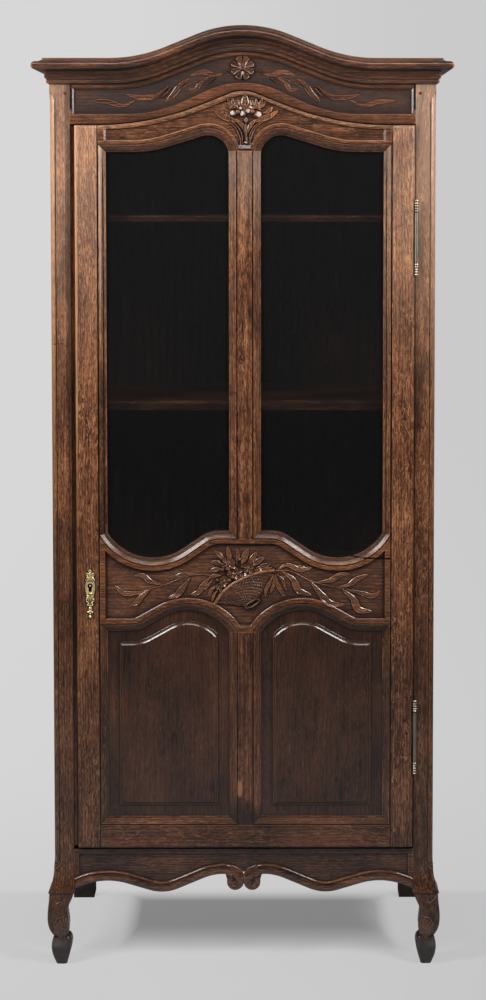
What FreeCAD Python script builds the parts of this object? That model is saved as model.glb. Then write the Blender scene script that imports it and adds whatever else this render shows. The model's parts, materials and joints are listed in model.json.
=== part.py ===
import FreeCAD, Part
import math
import os

# A bonnetiere: a tall one-door display cupboard in oak, with an arched cornice, a glazed and panelled door
# hung on two lift-off barrel hinges, a rim lock, three shelves and cabriole front feet.
# Millimetres. +X is to the right of someone facing the door, +Y goes to the back, +Z is up.
# The origin is on the floor, under the middle of the cornice's box.

Vector = FreeCAD.Vector

# ---- driving dimensions: the cupboard as a whole
overall_height = 2100.0
body_width = 850.0
body_depth = 434.0
cornice_overhang = 36.0
cornice_rise = 71.5
post_width = 45.0
post_depth = 50.0
rear_post_size = 50.0
board_thickness = 22.0
thin_board = 18.0
panel_thickness = 8.0
tenon_length = 34.0
side_tenon_length = 28.0
tenon_thickness = 8.0

half_width = body_width / 2
back_plane = (body_depth + cornice_overhang) / 2
front_plane = back_plane - body_depth
inner_edge = half_width - post_width
cornice_flat = overall_height - cornice_rise
post_top = cornice_flat - 10.5
mitre_reach = 60.0
cornice_runout = 30.0

# ---- driving dimensions: the door
door_centre = 4.0
door_half_width = 374.5
door_bottom = 268.5
door_top_flat = 1882.0
door_top_rise = 75.0
door_thickness = 26.0
door_proud = 10.0
door_lip_radius = 7.0
door_gap = 2.5
stile_joint = 322.0
opening_side = 306.0
muntin_half = 35.0
moulding_width = 18.0
door_face = front_plane - door_proud
door_back = door_face + door_thickness
door_left = door_centre - door_half_width
door_right = door_centre + door_half_width
carving_end = 311.0
top_rail_sink = 3.0
middle_rail_sink = 5.0
rail_field_slope = 2.5
top_field_slope = 1.9
glass_setback = 14.0
glass_thickness = 3.0
panel_setback = 11.0

# ---- wavy edges: each arc is (x of its crest or valley, height there, radius, kind)
cornice_wave = [(0.0, overall_height, 269.0, "crest"), (292.0, cornice_flat, 323.0, "valley")]
frieze_top_drop = 64.0
frieze_low_flat = 1906.0
frieze_low_wave = [
    (0.0, frieze_low_flat + 68.5, 190.0, "crest"),
    (257.0, frieze_low_flat, 310.0, "valley"),
]
door_top_wave = [
    (0.0, door_top_flat + door_top_rise, 80.0, "crest"),
    (322.0, door_top_flat, 620.0, "valley"),
]
glass_top_flat = 1823.5
glass_bottom_crest = 983.5
glass_top_wave = [(80.0, 1860.5, 45.0, "crest"), (245.0, glass_top_flat, 250.0, "valley")]
glass_bottom_wave = [(57.0, glass_bottom_crest, 72.0, "crest"), (205.0, 923.0, 119.0, "valley")]
panel_top_flat = 759.0
panel_bottom = 339.5
panel_top_wave = [(127.0, 805.0, 110.0, "crest"), (254.0, panel_top_flat, 60.0, "valley")]
apron_top = 264.0
apron_wave = [
    (45.0, 206.5, 115.0, "crest"),
    (184.0, 166.0, 95.0, "valley"),
    (305.0, 191.5, 150.0, "crest"),
]
volute_centre = (19.0, 189.0)
volute_radius = 18.5

# ---- driving dimensions: shelves, lock and hinges
shelf_tops = {"lower_shelf": 857.0, "middle_shelf": 1270.0, "upper_shelf": 1684.0}
shelf_thickness = {"lower_shelf": 20.0, "middle_shelf": 22.0, "upper_shelf": 14.0}
shelf_front = front_plane + 40.0
floor_board_top = 262.0
keyhole_x = -340.0
keyhole_z = 862.0
keyhole_radius = 6.0
keyhole_slot_half = 3.2
keyhole_slot_bottom = 849.0
hinge_x = 381.8
hinge_y = front_plane - 9.2
hinge_radius = 4.2
hinge_pin_radius = 2.0
pin_clearance = 0.05
hinge_length = 167.0
hinge_centres = {"upper": 1635.5, "lower": 521.0}

parts = {}


# ---- outlines in the XZ plane: a path is a list of segments, each two points, or three on an arc
def circle_height(circle, x):
    centre_x, centre_z, radius, kind = circle
    drop = math.sqrt(max(radius ** 2 - (x - centre_x) ** 2, 0.0))
    return centre_z + drop if kind == "crest" else centre_z - drop


def tangent_normal(first, second):
    # the upward unit normal of the straight that leaves a crest and runs into a valley, or the reverse
    crest, valley = (first, second) if first[3] == "crest" else (second, first)
    dx, dz = valley[0] - crest[0], valley[1] - crest[1]
    distance = math.hypot(dx, dz)
    spread = math.acos((crest[2] + valley[2]) / distance)
    base = math.atan2(dz, dx)
    angle = min((base - spread, base + spread), key=lambda a: abs(a - math.pi / 2))
    return math.cos(angle), math.sin(angle)


def arc_between(circle, start, end):
    centre_x, centre_z, radius, kind = circle
    angles = [math.atan2(p[1] - centre_z, p[0] - centre_x) for p in (start, end)]
    if kind == "valley":
        angles = [a if a <= 0 else a - 2 * math.pi for a in angles]
    middle = sum(angles) / 2
    return (start, (centre_x + radius * math.cos(middle), centre_z + radius * math.sin(middle)), end)


def wave(arcs, start, end, lift=0.0, flat_start=False, flat_end=False):
    # crests and valleys joined by tangent straights; lift moves the whole edge up, parallel to itself
    circles = []
    for x, height, radius, kind in arcs:
        if kind == "crest":
            circles.append((x, height - radius, radius + lift, kind))
        else:
            circles.append((x, height + radius, radius - lift, kind))
    first, last = circles[0], circles[-1]
    path = []
    point = (start, circle_height(first, start))
    if flat_start:
        point = (first[0], circle_height(first, first[0]))
        path.append(((start, point[1]), point))
    for circle, following in zip(circles, circles[1:]):
        nx, nz = tangent_normal(circle, following)
        sign = 1 if circle[3] == "crest" else -1
        leave = (circle[0] + sign * circle[2] * nx, circle[1] + sign * circle[2] * nz)
        arrive = (following[0] - sign * following[2] * nx, following[1] - sign * following[2] * nz)
        path.append(arc_between(circle, point, leave))
        path.append((leave, arrive))
        point = arrive
    if flat_end:
        valley_point = (last[0], circle_height(last, last[0]))
        path.append(arc_between(last, point, valley_point))
        path.append((valley_point, (end, valley_point[1])))
    else:
        path.append(arc_between(last, point, (end, circle_height(last, end))))
    return path


def backwards(path):
    return [segment[::-1] for segment in reversed(path)]


def mirrored(path):
    return [tuple((-x, z) for x, z in segment) for segment in path]


def both_sides(path):
    # a right half that starts at x = 0, with its mirror image before it
    return backwards(mirrored(path)) + path


def outline(*pieces):
    # points and paths, in order, joined by straights and closed
    segments = []
    first = last = None
    for piece in pieces:
        for segment in piece if isinstance(piece, list) else [(piece,)]:
            if last is not None and math.dist(last, segment[0]) > 1e-6:
                segments.append((last, segment[0]))
            if len(segment) > 1:
                segments.append(segment)
            first = first or segment[0]
            last = segment[-1]
    if math.dist(last, first) > 1e-6:
        segments.append((last, first))
    return segments


def placed(path, side):
    # from distances beside the door's middle line to X; side is -1 on the left and 1 on the right
    return [tuple((door_centre + side * x, z) for x, z in segment) for segment in path]


def edge_of(points):
    if len(points) == 3:
        return Part.Arc(*points).toShape()
    return Part.LineSegment(*points).toShape()


def wire_at(path, y):
    return Part.Wire([edge_of([Vector(x, y, z) for x, z in segment]) for segment in path])


def prism(path, y0, y1):
    return Part.Face(wire_at(path, y0)).extrude(Vector(0, y1 - y0, 0))


def sunk_field(outline_at, face, depth, slope, toe=None):
    # a cutter with sloped walls; outline_at gives the field's outline for an inset, and toe is the depth and
    # the inset that a gentler foot of the wall adds
    near, far = wire_at(outline_at(-slope / depth), face - 1), wire_at(outline_at(slope), face + depth)
    cutter = Part.makeLoft([near, far], True, True)
    if toe:
        low = wire_at(outline_at(slope + toe[1]), face + depth + toe[0])
        cutter = cutter.fuse(Part.makeLoft([far, low], True, True))
    return cutter


def box(x0, x1, y0, y1, z0, z1):
    return Part.makeBox(x1 - x0, y1 - y0, z1 - z0, Vector(x0, y0, z0))


def rod(x, y0, y1, z, radius):
    return Part.makeCylinder(radius, y1 - y0, Vector(x, y0, z), Vector(0, 1, 0))


def upright(x, y, z0, z1, radius):
    return Part.makeCylinder(radius, z1 - z0, Vector(x, y, z0))


def fused(shapes):
    shapes = list(shapes)
    return shapes[0].multiFuse(shapes[1:]).removeSplitter() if len(shapes) > 1 else shapes[0]


def other_side(shape):
    return shape.mirror(Vector(0, 0, 0), Vector(1, 0, 0))


def rounded_section(x0, x1, y0, y1, z, radius):
    low_x, high_x, low_y, high_y = x0 + radius, x1 - radius, y0 + radius, y1 - radius
    bend = radius * math.sqrt(0.5)
    corners = [
        ((low_x, y0), (high_x, y0), (high_x + bend, low_y - bend), (x1, low_y)),
        ((x1, low_y), (x1, high_y), (high_x + bend, high_y + bend), (high_x, y1)),
        ((high_x, y1), (low_x, y1), (low_x - bend, high_y + bend), (x0, high_y)),
        ((x0, high_y), (x0, low_y), (low_x - bend, low_y - bend), (low_x, y0)),
    ]
    edges = []
    for a, b, middle, c in corners:
        edges.append(edge_of([Vector(*a, z), Vector(*b, z)]))
        edges.append(edge_of([Vector(*b, z), Vector(*middle, z), Vector(*c, z)]))
    return Part.Wire(edges)


# ---- posts and cabriole feet
corner_bead = 11.2
bead_setback = 0.3
corner_notch = 13.4
quirk_depth = 3.6
notch_tip = 0.6
flute_low, flute_high = 240.0, 1931.0
stop_height = 28.0
peg_radius = 3.5
peg_x, peg_z = 390.0, 1952.0

# the left foot's sections: height, outer edge and inner edge, as distances from the cupboard's middle
knee_sections = [(230.0, 425.0, 380.0), (205.0, 426.5, 380.0), (184.0, 431.0, 379.5), (167.0, 438.0, 379.0)]
calf_sections = [
    (167.0, 436.0, 380.5),
    (156.0, 436.5, 384.0),
    (143.0, 437.5, 390.0),
    (130.0, 439.0, 395.0),
    (108.0, 440.0, 394.0),
    (86.0, 437.0, 393.0),
    (64.0, 426.5, 394.5),
]
foot_sections = [
    (64.0, 427.0, 391.5),
    (50.0, 431.5, 387.0),
    (38.0, 432.0, 388.0),
    (20.0, 429.0, 392.5),
    (0.0, 422.0, 398.0),
]


def foot_loft(sections, radius):
    wires = []
    for z, outer, inner in sections:
        flare = outer - half_width
        depth = half_width - inner
        wires.append(rounded_section(-outer, -inner, front_plane - flare, front_plane + depth, z, radius))
    return Part.makeLoft(wires, True, False)


def front_post():
    knee_top = knee_sections[0][0]
    post = box(-half_width, -inner_edge, front_plane, front_plane + post_depth, knee_top, post_top)
    corner = Vector(-half_width, front_plane, 0)
    notch = box(corner.x, corner.x + corner_notch, corner.y, corner.y + corner_notch, flute_low, flute_high)
    for z, tip in ((flute_high, flute_high + stop_height), (flute_low, flute_low - 0.8 * stop_height)):
        wires = []
        for size, height in ((corner_notch, z), (corner_notch * 0.5, (z + tip) / 2), (notch_tip, tip)):
            square = [(0, 0), (size, 0), (size, size), (0, size), (0, 0)]
            wires.append(Part.makePolygon([corner + Vector(a, b, height) for a, b in square]))
        notch = notch.fuse(Part.makeLoft(wires, True, False))
    # a quarter-round bead on the corner with a quirk on each face; it runs out in the tapered ends
    low, high = flute_low - 0.7 * stop_height, flute_high + 0.9 * stop_height
    bead_x, bead_y = corner.x + corner_bead + bead_setback, corner.y + corner_bead + bead_setback
    bead = upright(bead_x, bead_y, low, high, corner_bead)
    bead = bead.common(box(corner.x, bead_x, corner.y, bead_y, low, high))
    core_x, core_y = corner.x + corner_notch, corner.y + corner_notch
    core = box(corner.x + quirk_depth, core_x, corner.y + quirk_depth, core_y, low, high)
    post = post.cut(notch).fuse([bead, core])
    knee = foot_loft(knee_sections, 1.5)
    foot = foot_loft(calf_sections, 7.0).fuse(foot_loft(foot_sections, 7.0))
    return fused([post, knee, foot])


def rear_post():
    edge = half_width - rear_post_size
    return box(-half_width, -edge, back_plane - rear_post_size, back_plane, 0, post_top)


# ---- joints of the carcass: a tenon on the rail and its mortise in the post
def join(rail, socket, tenon):
    parts[rail] = parts[rail].fuse(tenon)
    parts[socket] = parts[socket].cut(tenon)


def tenon_along_x(x0, x1, y_middle, z0, z1):
    return box(x0, x1, y_middle - tenon_thickness / 2, y_middle + tenon_thickness / 2, z0, z1)


# ---- frieze and cornice
frieze_recess = 6.0
frieze_slope = 0.7
frieze_toe = (2.2, 2.4)
frieze_end_reach = 1.5
frieze_recess_end = 376.0
frieze_top_gap = 8.0
frieze_tenon = (1900.0, 2005.0)


def frieze_field(inset):
    end = frieze_recess_end - frieze_end_reach * inset
    low = both_sides(wave(frieze_low_wave, 0, end, lift=inset, flat_end=True))
    high = both_sides(wave(cornice_wave, 0, end, lift=-inset, flat_end=True))
    high = [tuple((x, z - frieze_top_drop) for x, z in segment) for segment in high]
    return outline(low, backwards(high))


def frieze_board():
    low = both_sides(wave(door_top_wave, 0, inner_edge, lift=door_gap, flat_end=True))
    high = both_sides(wave(cornice_wave, 0, inner_edge, flat_end=True))
    high = [tuple((x, z - frieze_top_gap) for x, z in segment) for segment in high]
    board = prism(outline(low, backwards(high)), front_plane, front_plane + board_thickness)
    upper = frieze_recess - frieze_toe[0]
    return board.cut(sunk_field(frieze_field, front_plane, upper, frieze_slope, frieze_toe))


def cornice_profile(at):
    # projection in front of the posts' face and height under the top; at turns them into a point
    top = [((0, 0), (14, 0)), ((14, 0), (14, -4)), ((14, -4), (21, -7.5)), ((21, -7.5), (26, -8))]
    nose = [((26, -8), (cornice_overhang, -17), (26, -26)), ((26, -26), (15, -28))]
    cove = [((15, -28), (10.6, -30.6), (9, -35))]
    upper_reed = [((9, -35), (10.2, -40), (6.5, -45.5)), ((6.5, -45.5), (5, -47))]
    lower_reed = [((5, -47), (6.4, -51.5), (3, -55.5))]
    back = [((3, -55.5), (0, -56.5)), ((0, -56.5), (0, 0))]
    segments = top + nose + cove + upper_reed + lower_reed + back
    return Part.Wire([edge_of([at(*p) for p in segment]) for segment in segments])


def cornice_front():
    # the profile keeps its attitude while it travels along the arch
    reach = half_width + cornice_overhang + cornice_runout
    spine_path = both_sides(wave(cornice_wave, 0, reach, flat_end=True))
    spine = wire_at(spine_path, front_plane)
    sweep = Part.BRepOffsetAPI.MakePipeShell(spine)
    sweep.setTrihedronMode(Vector(0, 0, 0), Vector(0, 1, 0))
    sweep.add(cornice_profile(lambda p, z: Vector(-reach, front_plane - p, cornice_flat + z)))
    sweep.build()
    sweep.makeSolid()
    outer = half_width + mitre_reach
    corners = [(-half_width, 0), (half_width, 0), (outer, -mitre_reach), (-outer, -mitre_reach)]
    points = [Vector(x, front_plane + y, cornice_flat - 100) for x, y in corners + corners[:1]]
    between_mitres = Part.Face(Part.makePolygon(points)).extrude(Vector(0, 0, 300))
    return sweep.shape().common(between_mitres)


def cornice_side():
    run = body_depth + cornice_overhang + cornice_runout
    start = front_plane - cornice_overhang - cornice_runout
    profile = cornice_profile(lambda p, z: Vector(-half_width - p, start, cornice_flat + z))
    length = Part.Face(profile).extrude(Vector(0, run, 0))
    corners = [(0, 0), (-mitre_reach, -mitre_reach), (-mitre_reach, run), (0, run)]
    corners = [(x - half_width, y + front_plane) for x, y in corners]
    points = [Vector(x, y, cornice_flat - 100) for x, y in corners + corners[:1]]
    behind_mitre = Part.Face(Part.makePolygon(points)).extrude(Vector(0, 0, 300))
    return length.common(behind_mitre).common(box(-overall_height, 0, start, back_plane, 0, overall_height))


# ---- apron and side frames
apron_border = 20.0
apron_recess = 3.0
apron_notch_top = 212.0
apron_slope = 2.0
apron_field_margin = 9.0
apron_field_end = 370.0
apron_dip = 210.0
apron_tenon = (185.0, 255.0)
volute_proud = 2.0


def apron_field(inset):
    # the sunk field follows the wavy edge and dips to a point between the two scrolls
    end, top = apron_field_end - inset, apron_top - apron_field_margin - inset
    border = wave(apron_wave, apron_wave[0][0], end, lift=apron_border + inset)
    crest = border[0][0]
    dip = ((0.0, apron_dip + 1.6 * inset), (crest[0] * 0.45, crest[1] - 4.0), crest)
    low = both_sides([dip] + border)
    return outline(low, (end, top), (-end, top))


def apron_board():
    half = wave(apron_wave, 20.0, inner_edge)
    low = both_sides([((0.0, apron_notch_top), half[0][0])] + half)
    board = prism(outline(low, (inner_edge, apron_top), (-inner_edge, apron_top)),
                  front_plane, front_plane + board_thickness)
    for side in (-1, 1):
        x, z = side * volute_centre[0], volute_centre[1]
        volute = rod(x, front_plane - volute_proud, front_plane + board_thickness, z, volute_radius)
        board = board.fuse(volute)
    depth = apron_recess + volute_proud
    board = board.cut(sunk_field(apron_field, front_plane - volute_proud, depth, apron_slope))
    return board.removeSplitter()


def side_rail(z0, z1, scalloped=False):
    # between the front post and the rear post, its face 2 mm behind theirs
    y0, y1 = front_plane + post_depth, back_plane - rear_post_size
    x0 = -half_width + side_setback
    rail = box(x0, x0 + board_thickness, y0, y1, z0, z1)
    if scalloped:
        middle = (y0 + y1) / 2
        arch = [(y0 + 30, z0), (y0 + 75, z0 + 26), (middle, z0 + 34), (y1 - 75, z0 + 26), (y1 - 30, z0)]
        points = [Vector(x0 - 1, y, z) for y, z in arch]
        edges = [Part.Arc(*points[0:2], points[2]).toShape(), Part.Arc(*points[2:5]).toShape()]
        edges.append(Part.LineSegment(points[4], points[0]).toShape())
        rail = rail.cut(Part.Face(Part.Wire(edges)).extrude(Vector(board_thickness + 2, 0, 0)))
    return rail


side_rails = {"top": (1890.0, post_top), "middle": (905.0, 975.0), "bottom": (171.0, 300.0)}
side_panels = {"upper": (975.0, 1890.0), "lower": (300.0, 905.0)}
side_setback = 2.0
groove_depth = 9.0
groove_setback = 8.0
field_edge, field_slope, field_rise = 30.0, 5.0, 5.0


def raised_panel_x(x0, y0, y1, z0, z1):
    # a side panel: a tongue all round in the frame's groove and a raised field facing -X
    face = x0 + groove_setback
    tongue = box(face, face + panel_thickness, y0 - groove_depth, y1 + groove_depth,
                 z0 - groove_depth, z1 + groove_depth)
    wires = []
    for inset, x in ((field_edge, face), (field_edge + field_slope, face - field_rise)):
        corners = [(y0 + inset, z0 + inset), (y1 - inset, z0 + inset), (y1 - inset, z1 - inset),
                   (y0 + inset, z1 - inset), (y0 + inset, z0 + inset)]
        wires.append(Part.makePolygon([Vector(x, y, z) for y, z in corners]))
    return tongue.fuse(Part.makeLoft(wires, True, True)).removeSplitter()


# ---- the door's outlines: distances are from the door's middle line
def glass_outline(growth):
    start, end = muntin_half - growth, opening_side + growth
    top = wave(glass_top_wave, start, end, lift=growth, flat_end=True)
    bottom = wave(glass_bottom_wave, start, end, lift=-growth, flat_start=True)
    return outline(top, backwards(bottom))


def panel_outline(growth):
    start, end = muntin_half - growth, opening_side + growth
    top = wave(panel_top_wave, start, end, lift=growth, flat_end=True)
    return outline(top, (end, panel_bottom - growth), (start, panel_bottom - growth))


# depth behind the door's face and growth of the opening there, along the stuck moulding: a flat ovolo, a step and
# a sloped edge, outside which a quirk is cut
sticking = [
    (-2.0, 16.0), (0.6, 16.0), None,
    (0.6, 15.8), (1.1, 14.6), (3.5, 11.3), (6.2, 7.7), None,
    (6.2, 4.6), (7.8, 4.6), (9.5, 0.0), None,
]
quirk = (3.6, 18.0, 16.0)
glass_rebate = [(9.5, 0.0), (14.0, 0.0), None, (14.0, groove_depth), (door_thickness + 2.0, groove_depth)]
panel_groove = [
    (9.5, 0.0), (11.0, 0.0), None, (11.0, groove_depth), (19.0, groove_depth), None,
    (19.0, 0.0), (door_thickness + 2.0, 0.0),
]


def opening_cutter(opening, depths, side):
    slices = []
    for start, end in zip(depths, depths[1:]):
        if start is None or end is None:
            continue
        near, far = placed(opening(start[1]), side), placed(opening(end[1]), side)
        y0, y1 = door_face + start[0], door_face + end[0]
        if start[1] == end[1]:
            slices.append(prism(near, y0, y1))
        else:
            slices.append(Part.makeLoft([wire_at(near, y0), wire_at(far, y1)], True, True))
    depth, outer, inner = quirk
    groove = prism(placed(opening(outer), side), door_face - 2.0, door_face + depth)
    groove = groove.cut(prism(placed(opening(inner), side), door_face - 3.0, door_face + depth + 1.0))
    return slices[0].multiFuse(slices[1:] + [groove])


def door_blank():
    top = both_sides(wave(door_top_wave, 0, door_right, flat_end=True))
    shape = outline((door_left, door_bottom), (door_left, door_top_flat), top[1:], (door_right, door_bottom))
    blank = prism(shape, door_face, door_back)
    rim = [e for e in blank.Edges if all(abs(v.Y - door_face) < 1e-6 for v in e.Vertexes)]
    return blank.makeFillet(door_lip_radius, rim)


# where the members meet: the corners of the openings, and how far the mitres run past them
glass_foot_corner = 979.0
muntin_top_joint = 1825.0
muntin_low_joint = 757.0
corner_reach = 20.0
muntin_reach = 25.0


def door_regions():
    # who owns what: the members' outlines, mitred through the mouldings, in distances from the middle line
    above, below, outside = overall_height, 200.0, 400.0
    inside = opening_side - corner_reach
    wide = muntin_half + muntin_reach
    neck = muntin_half - moulding_width
    edge = stile_joint - opening_side
    top_mitre = [(stile_joint, glass_top_flat + edge), (inside, glass_top_flat - corner_reach)]
    foot_mitre = [(inside, glass_foot_corner + 6.0), (opening_side, glass_foot_corner),
                  (stile_joint, glass_foot_corner - 4.4)]
    panel_top_mitre = [(stile_joint, panel_top_flat + edge), (inside, panel_top_flat - corner_reach)]
    panel_low_mitre = [(inside, panel_bottom + corner_reach), (stile_joint, panel_bottom - edge)]
    glass_foot = [(wide, glass_bottom_crest + muntin_reach), (muntin_half, glass_bottom_crest),
                  (neck, glass_bottom_crest - moulding_width)]
    panel_foot = [(wide, panel_bottom + muntin_reach), (muntin_half, panel_bottom),
                  (neck, panel_bottom - moulding_width)]

    stile = [(outside, above), (stile_joint, above)] + top_mitre + foot_mitre
    stile += panel_top_mitre + panel_low_mitre + [(stile_joint, below), (outside, below)]
    top = [(stile_joint, above)] + top_mitre
    top += [(wide, glass_top_flat - corner_reach), (wide, muntin_top_joint)]
    middle = glass_foot[::-1] + [(inside, glass_bottom_crest + muntin_reach)] + foot_mitre + panel_top_mitre
    middle += [(wide, panel_top_flat - corner_reach), (wide, muntin_low_joint)]
    bottom = panel_foot[::-1] + [(inside, panel_bottom + muntin_reach)] + panel_low_mitre
    bottom += [(stile_joint, below)]
    regions = {"hinge_stile": stile, "lock_stile": [(-x, z) for x, z in stile]}
    symmetric = {
        "door_top_rail": top,
        "upper_muntin": [(wide, muntin_top_joint)] + glass_foot,
        "door_middle_rail": middle,
        "lower_muntin": [(wide, muntin_low_joint)] + panel_foot,
        "door_bottom_rail": bottom,
    }
    for name, right in symmetric.items():
        regions[name] = right + [(-x, z) for x, z in reversed(right)]
    return regions


# ---- the carved grounds of the rails
top_rail_border = 24.0
top_rail_margin = 9.0
top_field_end = 309.5
top_field_reach = 2.4
rail_border = 27.0


def top_rail_field(inset):
    end = top_field_end - top_field_reach * inset
    half_low = wave(glass_top_wave, 13.0, end, lift=top_rail_border + inset, flat_end=True)
    half_high = wave(door_top_wave, 0, end, lift=-top_rail_margin - inset)
    low = both_sides([((0.0, half_low[0][0][1]), half_low[0][0])] + half_low)
    return placed(outline(low, backwards(both_sides(half_high))), 1)


def middle_rail_field(inset):
    end = carving_end - inset
    half_high = wave(glass_bottom_wave, 0.0, end, lift=-rail_border - inset, flat_start=True)
    half_low = wave(panel_top_wave, 12.0, end, lift=rail_border + inset, flat_end=True)
    low = both_sides([((0.0, half_low[0][0][1]), half_low[0][0])] + half_low)
    return placed(outline(low, backwards(both_sides(half_high))), 1)


stile_tenons = {
    "door_top_rail": (1845.0, 1872.0),
    "door_middle_rail": (800.0, 935.0),
    "door_bottom_rail": (276.0, 318.0),
}
muntin_tenons = [
    ("upper_muntin", "door_top_rail", 1824.0, 1850.0),
    ("upper_muntin", "door_middle_rail", 945.0, 967.0),
    ("lower_muntin", "door_middle_rail", 756.0, 770.0),
    ("lower_muntin", "door_bottom_rail", 300.0, 323.0),
]
muntin_tenon_half = 12.0
door_tenon_depth = 15.0


def make_door():
    blank = door_blank()
    cutters = []
    for side in (-1, 1):
        cutters.append(opening_cutter(glass_outline, sticking + glass_rebate, side))
        cutters.append(opening_cutter(panel_outline, sticking + panel_groove, side))
    cutters.append(sunk_field(top_rail_field, door_face, top_rail_sink, top_field_slope))
    cutters.append(sunk_field(middle_rail_field, door_face, middle_rail_sink, rail_field_slope))
    frame = blank.cut(cutters)
    for name, corners in door_regions().items():
        region = prism(placed(outline(*corners), 1), door_face - 5, door_back + 5)
        parts[name] = frame.common(region)
    tenon_y = door_face + door_tenon_depth
    for stile, side in (("lock_stile", -1), ("hinge_stile", 1)):
        ends = sorted(door_centre + side * x for x in (stile_joint - 1, stile_joint + tenon_length))
        for rail, (low, high) in stile_tenons.items():
            join(rail, stile, tenon_along_x(*ends, tenon_y, low, high))
    x0, x1 = door_centre - muntin_tenon_half, door_centre + muntin_tenon_half
    for muntin, rail, low, high in muntin_tenons:
        join(muntin, rail, tenon_along_x(x0, x1, tenon_y, low, high))


def make_door_fillings():
    glass_y = door_face + glass_setback
    panel_y = door_face + panel_setback
    step_y = panel_y - 2.5
    for side, name in ((-1, "left"), (1, "right")):
        pane = placed(glass_outline(groove_depth - 1.0), side)
        parts[name + "_glass_pane"] = prism(pane, glass_y, glass_y + glass_thickness)
        beads = prism(placed(glass_outline(groove_depth), side), glass_y + glass_thickness, door_back)
        beads = beads.cut(prism(placed(glass_outline(0.0), side), glass_y, door_back + 1))
        parts[name + "_glazing_beads"] = beads
        panel = prism(placed(panel_outline(groove_depth), side), panel_y, panel_y + panel_thickness)
        step, slope_foot, slope_head = (placed(panel_outline(g), side) for g in (-27.0, -29.6, -32.0))
        panel = panel.fuse(prism(step, step_y, panel_y))
        field = Part.makeLoft([wire_at(slope_foot, step_y), wire_at(slope_head, step_y - 1.9)], True, True)
        parts[name + "_door_panel"] = panel.fuse(field).removeSplitter()


# ---- lock, escutcheon and keeper
lock_left = -359.0
lock_right = -289.0
lock_low, lock_high = 822.0, 902.0
lock_depth = 16.0
lock_wall = 2.0
lock_pin_radius = 2.4
screw_inset = 5.5
bolt_low, bolt_high = 874.0, 886.0
bolt_near, bolt_far = 7.0, 13.0
bolt_length = 44.0
batten_depth = 20.0
batten_lip = 7.0
lip_setback = 6.0
batten_foot = floor_board_top + 8.0
bolt_rest_tip = lock_left - 0.5


def keyhole(y0, y1, play=0.0):
    round_part = rod(keyhole_x, y0, y1, keyhole_z, keyhole_radius + play)
    half = keyhole_slot_half + play
    slot = box(keyhole_x - half, keyhole_x + half, y0, y1, keyhole_slot_bottom - play, keyhole_z)
    return round_part.fuse(slot)


escutcheon_thickness = 1.6


def escutcheon_plate():
    # a narrow rococo plate: its right-hand outline from the bottom tip to the top tip, from the keyhole
    steps = [(0, -74), (3.6, -68), (2.6, -63.5), (7.4, -58), (2.6, -53.5), (4.2, -49.5), (3.4, -46),
             (7.6, -41), (7.0, -37.5), (9.2, -34), (8.0, -27), (9.2, -20), (10.4, -10), (10.4, 5),
             (9.0, 12), (9.4, 16), (7.6, 21.5), (9.2, 27.5), (3.4, 31), (4.0, 34.5), (0, 38)]
    right = [(keyhole_x + x, keyhole_z + z) for x, z in steps]
    left = [(2 * keyhole_x - x, z) for x, z in right]
    edges = []
    for points in (right, left):
        curve = Part.BSplineCurve()
        curve.interpolate([Vector(x, door_face, z) for x, z in points])
        edges.append(curve.toShape())
    plate = Part.Face(Part.Wire(edges)).extrude(Vector(0, -escutcheon_thickness, 0))
    return plate.cut(keyhole(door_face - 3, door_face + 1))


def make_lock():
    y0, y1 = door_back, door_back + lock_depth
    case = box(lock_left, lock_right, y0, y1, lock_low, lock_high)
    hollow = box(lock_left + lock_wall, lock_right - lock_wall, y0 - 1, y1 - lock_wall,
                 lock_low + lock_wall, lock_high - lock_wall)
    bolt_y0, bolt_y1 = y0 + bolt_near, y0 + bolt_far
    slot = box(lock_left - 1, lock_left + lock_wall + 1, bolt_y0 - 0.5, bolt_y1 + 0.5,
               bolt_low - 0.5, bolt_high + 0.5)
    parts["lock_case"] = case.cut(hollow).cut(slot)
    bolt_tail = bolt_rest_tip + bolt_length
    parts["lock_bolt"] = box(bolt_rest_tip, bolt_tail, bolt_y0, bolt_y1, bolt_low, bolt_high)
    pin = rod(keyhole_x, door_face + 1.0, y1 - lock_wall, keyhole_z, lock_pin_radius)
    tip_centre = Vector(keyhole_x, door_face - 1.0, keyhole_z)
    tip = Part.makeCone(1.2, lock_pin_radius, 2.0, tip_centre, Vector(0, 1, 0))
    parts["lock_pin"] = pin.fuse(tip)
    screws = []
    for x in (lock_left + screw_inset, lock_right - screw_inset):
        for z in (lock_low + screw_inset, lock_high - screw_inset):
            shank = rod(x, y0 - 9.0, y1, z, 1.6)
            head = Part.makeSphere(3.6, Vector(x, y1, z))
            head = head.common(box(x - 4, x + 4, y1, y1 + 1.6, z - 4, z + 4))
            screws.append(shank.fuse(head))
    parts["lock_screws"] = Part.makeCompound(screws)
    parts["lock_case"] = parts["lock_case"].cut(parts["lock_screws"])
    for stile in ("lock_stile", "door_middle_rail"):
        parts[stile] = parts[stile].cut(parts["lock_screws"])
    bore = keyhole(door_face - 1, door_back + 1, play=0.6)
    parts["lock_stile"] = parts["lock_stile"].cut(bore)
    parts["door_middle_rail"] = parts["door_middle_rail"].cut(bore)
    parts["escutcheon"] = escutcheon_plate()
    pins = []
    plate_face = door_face - escutcheon_thickness
    for z in (keyhole_z - 49.5, keyhole_z + 27.0):
        dome = Part.makeSphere(1.8, Vector(keyhole_x, plate_face, z))
        dome = dome.common(box(keyhole_x - 3, keyhole_x + 3, plate_face - 3, plate_face, z - 3, z + 3))
        pins.append(rod(keyhole_x, plate_face, door_face + 8.0, z, 0.8).fuse(dome))
    parts["escutcheon_pins"] = Part.makeCompound(pins)
    parts["escutcheon"] = parts["escutcheon"].cut(parts["escutcheon_pins"])
    parts["lock_stile"] = parts["lock_stile"].cut(parts["escutcheon_pins"])


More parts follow.
